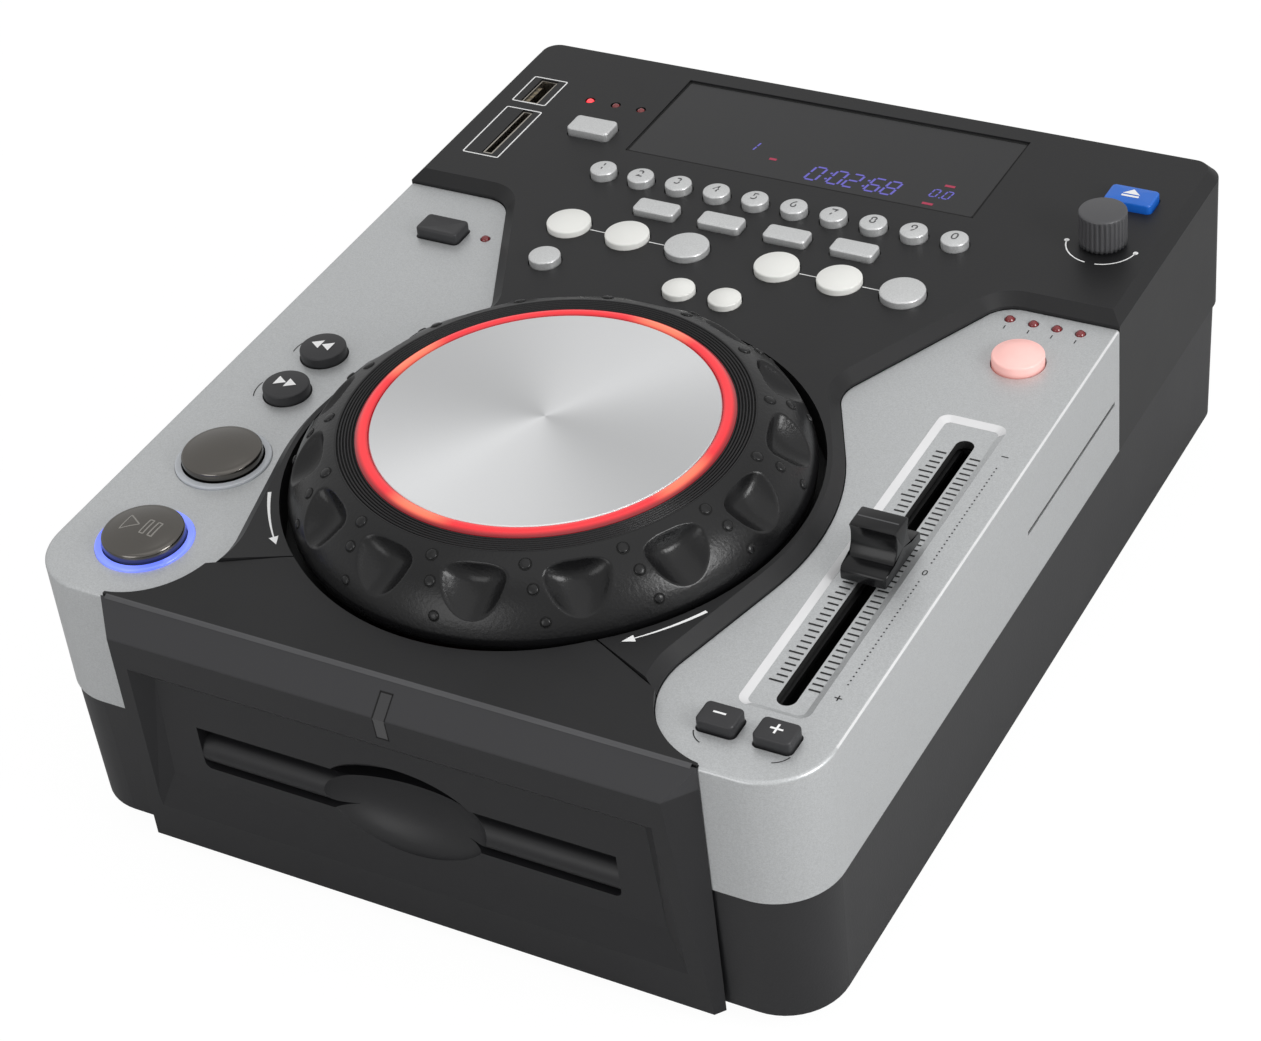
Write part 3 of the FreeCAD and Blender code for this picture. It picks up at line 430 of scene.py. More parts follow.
# Each round key's finish, and its crown in millimetres
roundKeys = {
    "cue_button": ("darkChrome", 1.5), "play_button": ("darkChrome", 1.5),
    "search_back_key": ("rubberKey", 0.5), "search_forward_key": ("rubberKey", 0.5),
    "tap_key": ("silverKey", 0.5), "reverse_key": ("whiteKey", 0.9), "brake_key": ("whiteKey", 0.9),
    "pitch_key": ("pinkKey", 1.5),
}
for letter in "ab":
    for use in ("in", "out"):
        roundKeys["loop_%s_%s_key" % (letter, use)] = ("whiteKey", 0.8)
    roundKeys["loop_%s_return_key" % letter] = ("silverKey", 0.6)
for digit in range(10):
    roundKeys["number_key_%d" % digit] = ("silverKey", 0.45)
flatKeys = {
    "time_key": "silverKey", "track_mode_key": "silverKey", "repeat_key": "silverKey",
    "program_key": "silverKey", "source_key": "silverKey", "eject_key": "blueKey",
    "jog_mode_key": "rubberKey", "pitch_minus_key": "rubberKey", "pitch_plus_key": "rubberKey",
}
# Caps: the flange under the plate isn't part of them; radii from wideFrom up get the wide edge
keyShape = {
    "flange": 1.4 * mm,
    "capDepth": 6.2 * mm,
    "edge": 0.6 * mm,
    "wideEdge": 1.1 * mm,
    "wideFrom": 8 * mm,
    "flatEdge": 0.7 * mm,
    "corner": 1.4 * mm,
    "flatCrown": 0.25 * mm,
    "hollowCrown": -0.5 * mm,
}
nodeSlot = {entry["node"]: entry["material_slot"] for entry in frame["record"]["subparts"]}
nodeBody = {node: body for body, nodes in frame["record"]["behaviour"]["bodies"].items() for node in nodes}


def dressNodes():
    for label, nodes in finishNodes.items():
        for node in nodes:
            piece = frame["nodes"][node]
            piece.data.materials.clear()
            piece.data.materials.append(materials[label])


dressNodes()
print("carried-over nodes dressed")


# Building pieces
weldGap = 0.0001 * mm


def show(name, data):
    piece = bpy.data.objects.new(name, data)
    bpy.context.scene.collection.objects.link(piece)
    return piece


def addObject(name, mesh, label, node, slotName):
    # The node is the one that carries the piece: the piece is attached under that node's body and takes the
    # label's finish
    body = nodeBody[node]
    slotName = slotName or nodeSlot[node]
    mesh.materials.clear()
    mesh.materials.append(materials[label])
    piece = show(name, mesh)
    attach(piece, body)
    return piece


def addPiece(name, part, label, node, slotName=None, smooth=True, sharp=0):
    points, faces = part
    mesh = bpy.data.meshes.new(name)
    mesh.from_pydata(np.asarray(points, float).tolist(), [], faces.tolist())
    work = bmesh.new()
    work.from_mesh(mesh)
    bmesh.ops.remove_doubles(work, verts=work.verts, dist=weldGap)
    work.to_mesh(mesh)
    work.free()
    mesh.polygons.foreach_set("use_smooth", np.full(len(mesh.polygons), smooth))
    if sharp:
        mesh.set_sharp_from_angle(angle=math.radians(sharp))
    mesh.update()
    return addObject(name, mesh, label, node, slotName)


def gridFaces(rows, columns, wrap=True):
    # A quad between each point, the one below it, and the next column's two
    across = np.arange(columns if wrap else columns - 1)
    row, column = np.meshgrid(np.arange(rows - 1), across, indexing="ij")
    after = (column + 1) % columns
    upper, lower = row * columns, (row + 1) * columns
    return np.stack([upper + column, lower + column, lower + after, upper + after], axis=-1).reshape(-1, 4)


def gridPart(grid, wrap=True, flip=False):
    # A grid's points in one list, with its faces
    faces = gridFaces(*np.shape(grid)[:2], wrap)
    return np.reshape(grid, (-1, 3)), faces[:, ::-1] if flip else faces


def latheGrid(profile, centre, turns):
    # Each point of the profile, a radius and a height, carried round the centre's upright axis
    angle = np.linspace(0, 2 * np.pi, turns, endpoint=False)
    profile = np.asarray(profile, float)
    radius, height = profile[:, :1], profile[:, 1:]
    x = centre[0] + radius * np.cos(angle)
    y = centre[1] + radius * np.sin(angle)
    return np.stack([x, y, height + 0 * x], axis=-1)


def joined(parts):
    # The parts' points in one array, each part's faces moved on by the points before it
    starts = np.cumsum([0] + [len(points) for points, faces in parts[:-1]])
    points = np.concatenate([points for points, faces in parts])
    faces = np.concatenate([faces + start for (_, faces), start in zip(parts, starts)])
    return points, faces


def nodeCentre(node):
    low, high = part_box(node)
    return np.array([(low[0] + high[0]) / 2, (low[1] + high[1]) / 2]), low, high


def crownProfile(radius, top, crown, edge):
    # From the axis out: a shallow crown, then a quarter round at the edge
    inner = radius - edge
    flat = np.linspace(0, 1, 14)
    dome = np.column_stack([inner * flat, top - crown * flat ** 2])
    turn = np.linspace(0, np.pi / 2, 8)[1:]
    shoulder = np.column_stack([inner + edge * np.sin(turn), top - crown - edge * (1 - np.cos(turn))])
    return np.concatenate([dome, shoulder])


def makeRoundKeys():
    for node, (label, crown) in roundKeys.items():
        centre, low, high = nodeCentre(node)
        radius = (high[0] - low[0]) / 2 - keyShape["flange"]
        floor = high[2] - keyShape["capDepth"]
        edge = keyShape["wideEdge"] if radius > keyShape["wideFrom"] else keyShape["edge"]
        side = [[radius, (high[2] + floor) / 2], [radius, floor], [0, floor]]
        profile = np.concatenate([crownProfile(radius, high[2], crown * mm, edge), side])
        grid = latheGrid(profile, centre, 96)
        cap = addPiece(node + "_cap", gridPart(grid), label, node)
        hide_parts(node)


def roundedPlan(halfX, halfY, corner, count):
    # The outline of a rectangle with round corners, evenly in angle round each corner
    turn = np.linspace(0, np.pi / 2, count)
    starts = np.array([[1, 1], [-1, 1], [-1, -1], [1, -1]])
    middles = starts * np.array([halfX - corner, halfY - corner])
    angles = turn[None, :] + np.arange(4)[:, None] * np.pi / 2
    arcs = corner * np.stack([np.cos(angles), np.sin(angles)], axis=-1)
    return (middles[:, None, :] + arcs).reshape(-1, 2)


def padGrid(centre, halfX, halfY, corner, top, bottom, crown, edge):
    # Rows from the middle out: the plan shrunk to its share, crowned, then rounded over and down
    share = np.linspace(0, 1, 8)
    inner = roundedPlan(halfX - edge, halfY - edge, max(corner - edge, 0.2 * mm), 9)
    outer = roundedPlan(halfX, halfY, corner, 9)
    rows = [np.column_stack([inner * part, np.full(len(inner), top - crown * part ** 2)]) for part in share]
    for turn in np.linspace(0, np.pi / 2, 7)[1:]:
        blend = np.sin(turn)
        drop = top - crown - edge * (1 - np.cos(turn))
        rows.append(np.column_stack([inner + (outer - inner) * blend, np.full(len(inner), drop)]))
    rows.append(np.column_stack([outer, np.full(len(outer), bottom)]))
    rows.append(np.column_stack([outer * 0, np.full(len(outer), bottom)]))
    grid = np.array(rows)
    grid[..., :2] += centre
    return grid


def makeFlatKeys():
    for node, label in flatKeys.items():
        centre, low, high = nodeCentre(node)
        halfX = (high[0] - low[0]) / 2 - keyShape["flange"]
        halfY = (high[1] - low[1]) / 2 - keyShape["flange"]
        crown = keyShape["hollowCrown"] if node == "jog_mode_key" else keyShape["flatCrown"]
        top, floor = high[2] + min(crown, 0), high[2] - keyShape["capDepth"]
        grid = padGrid(centre, halfX, halfY, keyShape["corner"], top, floor, crown, keyShape["flatEdge"])
        cap = addPiece(node + "_cap", gridPart(grid), label, node)
        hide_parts(node)


makeRoundKeys()
makeFlatKeys()
print("keys made")


# Jog wheel
def slopeCircle():
    # The circle through the slope's edge, middle and top, as centre and radius in the section
    points = [(jog["edgeRadius"], jog["edgeHeight"]), (jog["middleRadius"], jog["middleHeight"]),
              (jog["flatRadius"], jog["flatHeight"])]
    (ax, ay), (bx, by), (cx, cy) = points
    a, b, c = [x * x + y * y for x, y in points]
    d = 2 * (ax * (by - cy) + bx * (cy - ay) + cx * (ay - by))
    ux = (a * (by - cy) + b * (cy - ay) + c * (ay - by)) / d
    uy = (a * (cx - bx) + b * (ax - cx) + c * (bx - ax)) / d
    return ux, uy, math.hypot(ax - ux, ay - uy)


def slopePoint(share):
    # A point of the rim's slope, its outward normal and its distance down from the flat ring
    cx, cz, radius = slopeCircle()
    start = math.atan2(jog["flatHeight"] - cz, jog["flatRadius"] - cx)
    end = math.atan2(jog["edgeHeight"] - cz, jog["edgeRadius"] - cx)
    angle = start + (end - start) * share
    normal = np.stack([np.cos(angle), np.sin(angle)], axis=-1)
    point = np.stack([cx + radius * np.cos(angle), cz + radius * np.sin(angle)], axis=-1)
    return point, normal, abs(end - start) * radius * share


def hollowDepth(across, along):
    # A bowl with a crisp lip: its inner end is nearly straight, its outer end a half round
    down = (along - jog["hollowStart"]) / jog["hollowLength"]
    widest, power = jog["hollowWidest"], jog["hollowPowers"]
    width = jog["hollowHalfWidth"] * (1 - jog["hollowTaper"] * np.clip(down, 0, 1))
    inner = (np.clip(widest - down, 0, None) / widest) ** power["inner"]
    outer = (np.clip(down - widest, 0, None) / (1 - widest)) ** power["outer"]
    inside = np.clip(1 - np.abs(across / width) ** power["side"] - inner - outer, 0, 1)
    return jog["hollowDepth"] * inside ** power["bowl"]


def makeJogRim():
    flatRadii = np.linspace(jog["boreRadius"], jog["flatRadius"], 37)
    low, high = jog["grooveFlats"]
    wave = np.clip(np.cos(2 * np.pi * (flatRadii - jog["boreRadius"]) / groovePeriod), low, high)
    flatHeights = jog["flatHeight"] - jog["grooveDepth"] * (high - wave) / (high - low)
    share = np.linspace(0, 1, 72)[1:]
    slope, normal, along = slopePoint(share)
    columns = 840
    angle = np.linspace(0, 2 * np.pi, columns, endpoint=False)
    step = 2 * np.pi / jog["hollows"]
    offset = np.mod(angle - math.radians(jog["hollowTurn"]) + step / 2, step) - step / 2
    across = slope[:, :1] * offset[None, :]
    depth = hollowDepth(across, along[:, None] + 0 * across)
    radius = slope[:, :1] - normal[:, :1] * depth
    height = slope[:, 1:] - normal[:, 1:] * depth
    inner = np.array([[jog["boreRadius"], jog["flatHeight"] - jog["boreDepth"]]])
    skirt = np.array([[jog["edgeRadius"] - 0.1 * mm, 0.5 * (jog["edgeHeight"] + jog["skirtHeight"])],
                      [jog["edgeRadius"] - 0.4 * mm, jog["skirtHeight"]],
                      [jog["boreRadius"], jog["skirtHeight"]]])
    wide = np.ones(columns)
    start = np.concatenate([inner, np.column_stack([flatRadii, flatHeights])])
    radii = np.concatenate([start[:, :1] * wide, radius, skirt[:, :1] * wide])
    heights = np.concatenate([start[:, 1:] * wide, height, skirt[:, 1:] * wide])
    x = jogCentre[0] + radii * np.cos(angle)
    y = jogCentre[1] + radii * np.sin(angle)
    grid = np.stack([x, y, heights], axis=-1)
    grid = np.concatenate([grid, grid[:1]])
    rim = addPiece("jog_rim_skin", gridPart(grid), "rim", "jog_rim")
    # The grooved flat ring has a finish of its own
    rim.data.materials.append(materials["groove"])
    flat = np.zeros(len(rim.data.polygons), int)
    centres = np.empty(len(flat) * 3)
    rim.data.polygons.foreach_get("center", centres)
    centres = centres.reshape(-1, 3)
    reach = np.hypot(centres[:, 0] - jogCentre[0], centres[:, 1] - jogCentre[1])
    flat[(reach < jog["flatRadius"] + 0.2 * mm) & (centres[:, 2] > jog["flatHeight"] - 2 * mm)] = 1
    rim.data.polygons.foreach_set("material_index", flat)
    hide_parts("jog_rim")


def bead(size, height):
    # A small dome's profile: nearly flat on top, round at the edge, with a shallow foot outside it
    turn = np.linspace(0, np.pi / 2, 6)
    crown = np.column_stack([size * np.sin(turn), height * np.cos(turn) ** 0.6])
    return np.concatenate([crown, [[size, -0.6 * mm]]])


def onSlope(grid, turn, radius):
    # A small shape made round the origin, tilted to lie on the slope and turned round the wheel
    cx, cz, circleRadius = slopeCircle()
    rise = math.asin(min((radius - cx) / circleRadius, 1.0))
    centre = np.array([radius, 0, cz + circleRadius * math.cos(rise)])
    spin = np.array(Matrix.Rotation(turn, 3, "Z"))
    tilt = np.array(Matrix.Rotation(rise, 3, "Y"))
    return (grid @ tilt.T + centre) @ spin.T + np.array([jogCentre[0], jogCentre[1], 0])


def makeJogDots():
    dots, shadeRings = [], []
    for index in range(jog["hollows"]):
        for radius, size, shift in zip(jog["dotRadii"], jog["dotSizes"], jog["dotShifts"]):
            turn = math.radians(jog["dotTurn"] + shift + 360 * index / jog["hollows"])
            # A flat dark ring round each dot: painted shade, as in a shallow moat round it
            shadeRing = [(size * 0.95, 0.06 * mm), (size + jog["shadeRingWidth"], 0.03 * mm)]
            for profile, parts in ((bead(size, jog["dotHeight"]), dots), (shadeRing, shadeRings)):
                grid = latheGrid(profile, (0, 0), 24)
                parts.append(gridPart(onSlope(grid, turn, radius)))
    addPiece("jog_rim_dots", joined(dots), "rim", "jog_rim")
    addPiece("jog_dot_shade_rings", joined(shadeRings), "blackShadeAndOutline", "jog_rim")


makeJogRim()
makeJogDots()
print("jog wheel made")


# Printing: flat shapes a hair above the surface that carries them
def ribbon(path, width, surface, closed=False):
    # Each side of the line lies half its width away, along the path's normal
    path = np.asarray(path, float)
    ahead = np.roll(path, -1, 0) - np.roll(path, 1, 0) if closed else np.gradient(path, axis=0)
    ahead = ahead / np.linalg.norm(ahead, axis=1)[:, None]
    side = np.stack([-ahead[:, 1], ahead[:, 0]], 1) * np.reshape(width, (-1, 1)) / 2
    if closed:
        path, side = np.concatenate([path, path[:1]]), np.concatenate([side, side[:1]])
    flat = np.stack([path - side, path + side])
    points = np.concatenate([flat, surface(flat[..., 1:])], axis=-1)
    count = len(path)
    index = np.arange(count - 1)
    faces = np.stack([index, index + 1, index + 1 + count, index + count], 1)
    return points.reshape(-1, 3), faces


def onDeck(y):
    return deckZ(y) + case["printLift"]


def onWing(y):
    return wingZ(y) + case["printLift"]


def arc(centre, radius, start, end, count=24):
    angle = np.radians(np.linspace(start, end, count))
    return np.asarray(centre) + radius * np.stack([np.cos(angle), np.sin(angle)], 1)


def disc(centre, radius, surface, count=20):
    ring = arc(centre, radius, 0, 360, count + 1)[:-1]
    flat = np.concatenate([[centre], ring])
    points = np.column_stack([flat, surface(flat[:, 1])])
    index = np.arange(count)
    return points, np.stack([0 * index, 1 + index, 1 + (index + 1) % count], 1)


def polygon(corners, surface):
    flat = np.asarray(corners, float)
    points = np.column_stack([flat, surface(flat[:, 1])])
    index = np.arange(1, len(flat) - 1)
    return points, np.stack([0 * index, index, index + 1], 1)


def addPrint(name, parts, label, node, slotName=None):
    parts = [part if part[1].shape[1] == 3 else splitQuads(part) for part in parts]
    addPiece(name, joined(parts), label, node, slotName, smooth=False)


def splitQuads(part):
    points, faces = part
    return points, np.concatenate([faces[:, [0, 1, 2]], faces[:, [0, 2, 3]]])


def addText(name, text, size, centre, height, label, node, slotName=None):
    curve = bpy.data.curves.new(name, "FONT")
    curve.body = text
    curve.size = size
    curve.align_x = "CENTER"
    curve.align_y = "CENTER"
    curve.extrude = 0.01 * mm
    holder = bpy.data.objects.new(name + "_text", curve)
    mesh = bpy.data.meshes.new_from_object(holder)
    mesh.transform(Matrix.Translation((centre[0], centre[1], height)))
    bpy.data.objects.remove(holder)
    addObject(name, mesh, label, node, slotName)


# How far a key's sign stands over its cap, how far the crowned number keys' digits sink, and line sizes
keySigns = {"lift": 0.03 * mm, "digitSink": 0.02 * mm, "digitSize": 4.6 * mm, "outline": 0.42 * mm}


def makeKeyDigits():
    for digit in range(10):
        node = "number_key_%d" % digit
        centre, low, high = nodeCentre(node)
        top = high[2] - keySigns["digitSink"]
        name, size = "number_%d" % digit, keySigns["digitSize"]
        addText(name, str(digit), size, centre, top, "greyInk", node)


def keyPrint(name, node, shapes, label):
    # Shapes are corner lists in millimetres from the middle of the key's top
    centre, low, high = nodeCentre(node)
    level = high[2] + keySigns["lift"]
    parts = [polygon(centre + np.asarray(shape) * mm, lambda y: 0 * y + level) for shape in shapes]
    addPrint(name, parts, label, node)


def bar(x0, x1, y0, y1):
    return [(x0, y0), (x1, y0), (x1, y1), (x0, y1)]


def domePrint(name, node, shapes, label):
    # Outlines laid on a button's crown, which falls with the square of the distance from its middle
    centre, low, high = nodeCentre(node)
    crown = roundKeys[node][1] * mm
    reach = (high[0] - low[0]) / 2 - keyShape["flange"] - keyShape["wideEdge"]
    parts = []
    for shape in shapes:
        corners = np.asarray(shape) * mm
        ahead = np.roll(corners, -1, 0) - corners
        steps = np.linspace(0, 1, 12, endpoint=False)[None, :, None]
        path = (corners[:, None] + ahead[:, None] * steps).reshape(-1, 2) + centre
        points, faces = ribbon(path, keySigns["outline"], lambda y: 0 * y, closed=True)
        distance = np.linalg.norm(points[:, :2] - centre, axis=1)
        points[:, 2] = high[2] + keySigns["lift"] - crown * (distance / reach) ** 2
        parts.append((points, faces))
    addPrint(name, parts, label, node)


def makeKeySymbols():
    back = [[(-3.6, 0), (-0.4, -2.0), (-0.4, 2.0)], [(-0.2, 0), (3.0, -2.0), (3.0, 2.0)]]
    forward = [[(-x, y) for x, y in reversed(shape)] for shape in back]
    keyPrint("search_back_sign", "search_back_key", back, "whiteInk")
    keyPrint("search_forward_sign", "search_forward_key", forward, "whiteInk")
    minus = [bar(-1.7, 1.7, -0.3, 0.3)]
    plus = minus + [bar(-0.3, 0.3, 0.3, 1.7), bar(-0.3, 0.3, -1.7, -0.3)]
    eject = [[(-2.6, -0.2), (2.6, -0.2), (0, 2.4)], bar(-2.6, 2.6, -1.7, -0.8)]
    keyPrint("minus_sign", "pitch_minus_key", minus, "whiteInk")
    keyPrint("plus_sign", "pitch_plus_key", plus, "whiteInk")
    keyPrint("eject_sign", "eject_key", eject, "whiteInk")
    play = [[(-5.2, -3.0), (-0.6, 0), (-5.2, 3.0)], bar(1.2, 2.4, -2.8, 2.8), bar(3.8, 5.0, -2.8, 2.8)]
    domePrint("play_sign", "play_button", play, "engraved")


# Lines on the deck: port frames as left, right, front and back in millimetres, and the knob's two arcs
deckPrint = {
    "frames": ((-105.4, -93.7, 247.3, 262.2), (-104.8, -92.5, 215.7, 243.4)),
    "frameLine": 0.45 * mm,
    "linkLine": 0.35 * mm,
    "linkUnder": 0.9 * mm,
    "knobRadius": 10.4 * mm,
    "knobArcs": ((188, 262), (278, 352)),
    "knobLine": 0.4 * mm,
    "knobDot": 0.75 * mm,
    "arrowRadius": 75.4 * mm,
    "arrows": ((209, 224), (-30, -45)),
}


def makeDeckPrint():
    parts = []
    for x0, x1, b0, b1 in deckPrint["frames"]:
        middle = place((x0 + x1) / 2, (b0 + b1) / 2)
        plan = roundedPlan((x1 - x0) / 2 * mm, (b1 - b0) / 2 * mm, 0.5 * mm, 4) + middle
        parts.append(ribbon(plan, deckPrint["frameLine"], onDeck, closed=True))
    under = deckPrint["linkUnder"]
    for letter in "ab":
        names = ["loop_%s_%s_key" % (letter, use) for use in ("in", "out", "return")]
        for first, second in zip(names, names[1:]):
            middle, low, high = nodeCentre(first)
            x = np.linspace(high[0] - under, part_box(second)[0][0] + under, 3)
            path = np.column_stack([x, 0 * x + middle[1]])
            parts.append(ribbon(path, deckPrint["linkLine"], onDeck))
    knob, radius = nodeCentre("encoder_knob")[0], deckPrint["knobRadius"]
    for start, end in deckPrint["knobArcs"]:
        parts.append(ribbon(arc(knob, radius, start, end), deckPrint["knobLine"], onDeck))
    for angle in (deckPrint["knobArcs"][0][0], deckPrint["knobArcs"][-1][1]):
        parts.append(disc(arc(knob, radius, angle, angle, 1)[0], deckPrint["knobDot"], onDeck))
    addPrint("deck_lines", parts, "whiteInk", "top_shell", "key_white")


def taperedArrow(start, end):
    # A stroke that narrows from its start, bent round the jog wheel, with a three-cornered head
    radius = deckPrint["arrowRadius"]
    path = arc(jogCentre, radius, start, end, 30)
    width = np.linspace(1.0, 0.35, 30) * mm
    tip = arc(jogCentre, radius, end + (end - start) * 0.17, end, 2)
    ahead = (tip[0] - path[-1]) / np.linalg.norm(tip[0] - path[-1])
    side = np.array([-ahead[1], ahead[0]])
    corners = [tip[0], path[-1] + side * 1.3 * mm, path[-1] - side * 1.3 * mm]
    return [ribbon(path, width, onDeck), polygon(corners, onDeck)]


def makeArrows():
    parts = [part for start, end in deckPrint["arrows"] for part in taperedArrow(start, end)]
    addPrint("turn_arrows", parts, "whiteInk", "top_shell", "key_white")


# The fader's slot, recess and scale, in millimetres right of the middle and behind the front plane
fader = {
    "x": 95.2,
    "slot": (28.5, 140.5),
    "slotWidth": 5.2,
    "slotGap": 0.04,
    "shadeDrops": (1.02, 3.4),
    "floor": 1.0,
    "ticks": (36.0, 133.6, 45),
    "tickStart": 3.3,
    "tickReach": (3.0, 4.0),
    "tickLine": 0.6,
    "dots": (40.0, 131.0, 58),
    "dotsX": 107.2,
    "dotsClear": 3.4,
    "dotRadius": 0.26,
    "signs": ((106.4, 136.3, 108.4, 136.3), (106.1, 34.7, 108.1, 34.7), (107.1, 33.7, 107.1, 35.7)),
    "signLine": 0.35,
    "rest": 85.2,
    "recess": (24.6, 148.4),
    "recessX": 94.0,
    "recessHalf": 9.6,
    "highlightEdges": ((-0.05, -0.04, 3.0), (1.95, 0.94, 1.7)),
}


def inRecess(y):
    return wingZ(y) - fader["floor"] * mm + case["printLift"]


def stroke(x0, back0, x1, back1, width, surface):
    # A straight line between two places, in millimetres
    return ribbon(np.array([place(x0, back0), place(x1, back1)]), width * mm, surface)


def makeFaderScale():
    parts = []
    for index, back in enumerate(np.linspace(*fader["ticks"])):
        reach = fader["tickStart"] + fader["tickReach"][index % 5 == 0]
        for side in (-1, 1):
            ends = fader["x"] + side * fader["tickStart"], fader["x"] + side * reach
            parts.append(stroke(ends[0], back, ends[1], back, fader["tickLine"], inRecess))
    addPrint("fader_ticks", parts, "blackInk", "right_wing", "control_grey")
    x, rest = fader["dotsX"], fader["rest"]
    places = [back for back in np.linspace(*fader["dots"]) if abs(back - rest) > fader["dotsClear"]]
    dots = [disc(place(x, back), fader["dotRadius"] * mm, onWing, 8) for back in places]
    dots += [stroke(*line, fader["signLine"], onWing) for line in fader["signs"]]
    addPrint("fader_scale", dots, "blackInk", "right_wing", "control_grey")
    zero = place(x, rest)
    addText("fader_zero", "0", 3.0 * mm, zero, onWing(zero[1]), "blackInk", "right_wing", "control_grey")


def belowWing(plan, drop):
    return np.column_stack([plan, wingZ(plan[:, 1]) - drop * mm])


def makeSlotLiner():
    # Painted shade: a dark sleeve just inside the fader's slot, from the recess's floor down past the
    # wing's plate
    low, high = fader["slot"]
    half = (fader["slotWidth"] / 2 - fader["slotGap"]) * mm
    plan = roundedPlan(half, ((high - low) / 2 - fader["slotGap"]) * mm, half - 0.001 * mm, 12)
    plan = plan[::-1] + place(fader["x"], (low + high) / 2)
    rows = [belowWing(plan, drop) for drop in fader["shadeDrops"]]
    addPiece("fader_slot_shade", gridPart(rows), "blackShadeAndOutline", "right_wing", "control_grey")


def makeRecessTrim():
    # The recess's sloping sides, in a paler silver as painted light: brighter than the wing round them
    low, high = fader["recess"]
    middle = place(fader["recessX"], (low + high) / 2)
    rows = []
    for inset, drop, corner in fader["highlightEdges"]:
        half = (fader["recessHalf"] - inset) * mm, ((high - low) / 2 - inset) * mm
        rows.append(belowWing(roundedPlan(*half, corner * mm, 10)[::-1] + middle, drop))
    # Only the front, left and back sides, which face the light: the right side is the first corner's ten
    part = gridPart(np.array(rows)[:, 10:], wrap=False)
    addPiece("fader_recess_highlight", part, "highlightSilver", "right_wing")


def makeWingEdges():
    # The thin line of light along each wing's outer top edge, laid on the CAD's round of 0.9 mm
    outer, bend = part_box("right_wing")[1][0], 0.9 * mm
    y = frontY + np.linspace(19.0, 199.5, 120) * mm
    rows = []
    for angle in np.radians(np.linspace(25, 65, 7)):
        x = outer - bend + 0.92 * mm * math.cos(angle)
        rows.append(np.column_stack([0 * y + x, y, wingZ(y) - bend + 0.92 * mm * math.sin(angle)]))
    for side, node in ((1, "right_wing"), (-1, "left_wing")):
        part = gridPart(np.array(rows) * [side, 1, 1], wrap=False, flip=side > 0)
        addPiece(node + "_edge", part, "highlightSilver", node)


def makeSlitShade():
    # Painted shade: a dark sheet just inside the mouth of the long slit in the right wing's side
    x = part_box("right_wing")[1][0] - 0.3 * mm
    outline = ((134.1, 64.3), (196.4, 64.3), (196.4, 65.4), (134.1, 65.4))
    corners = [(x, frontY + back * mm, z * mm) for back, z in outline]
    part = corners, np.array([[0, 1, 2, 3]])
    addPiece("side_slit_shade", part, "slitShade", "right_wing", smooth=False)


def makeNoseEdge():
    # A paler strip over the fascia's top edge, closing the gap to the nose: a painted highlight where the
    # edge catches the light along the front of the black deck
    x = np.linspace(-85.4, 85.4, 60) * mm
    section = ((-0.75, 85.72), (-0.35, 86.16), (-0.15, 86.34), (0.15, 86.36), (0.5, 86.38))
    rows = [np.column_stack([x, 0 * x + frontY + back * mm, 0 * x + z * mm]) for back, z in section]
    addPiece("fascia_top_edge_highlight", gridPart(rows, wrap=False, flip=True), "edgeShine", "disc_fascia")


# The light guide's outline as its side view's corners (behind the front plane, height), and its sides
guide = {
    "spine": ((-7.95697, 72.55), (-8.4, 79.36), (-2.9, 83.88786)),
    "sides": (0.12, 0.5, 3.7, 4.08),
    "line": 0.34,
}


def makeGuideOutline():
    # A dark line round the light guide, bent with it over the fascia's front top edge
    spine = np.array(guide["spine"])
    left, leftInner, rightInner, right = guide["sides"]
    parts = []

    def strip(path, x0, x1):
        rows = [[(x * mm, frontY + back * mm, z * mm) for x in (x0, x1)] for back, z in path]
        parts.append(gridPart(rows, wrap=False))

    strip(spine, left, leftInner)
    strip(spine, rightInner, right)
    for end in (spine[0], spine[2]):
        step = (spine[1] - end) / np.linalg.norm(spine[1] - end) * guide["line"]
        strip((end - step * 0.3, end + step), left, right)
    addPrint("guide_outline", parts, "blackShadeAndOutline", "disc_fascia")


def turnedBack(grid, x, z):
    # A shape made upright, laid down so that its up points to the back of the case
    return np.stack([grid[..., 0] + x, grid[..., 2], grid[..., 1] + z], axis=-1)


# Rear sockets: collars as x, bore and outer radius; the inlet's pins; all in millimetres
rearParts = {
    "face": 285.05,
    "height": 28.0,
    "collars": ((-84.0, 2.2, 4.1), (-68.0, 2.2, 4.1), (-44.0, 2.4, 4.6)),
    "pins": (31.0, 38.0, 45.0),
    "pinHalf": (1.06, 2.06),
    "pinDepths": (3.9, 15.9),
    "contacts": (-101.7, 251.2, 2.3),
    "contactDepth": 1.45,
}


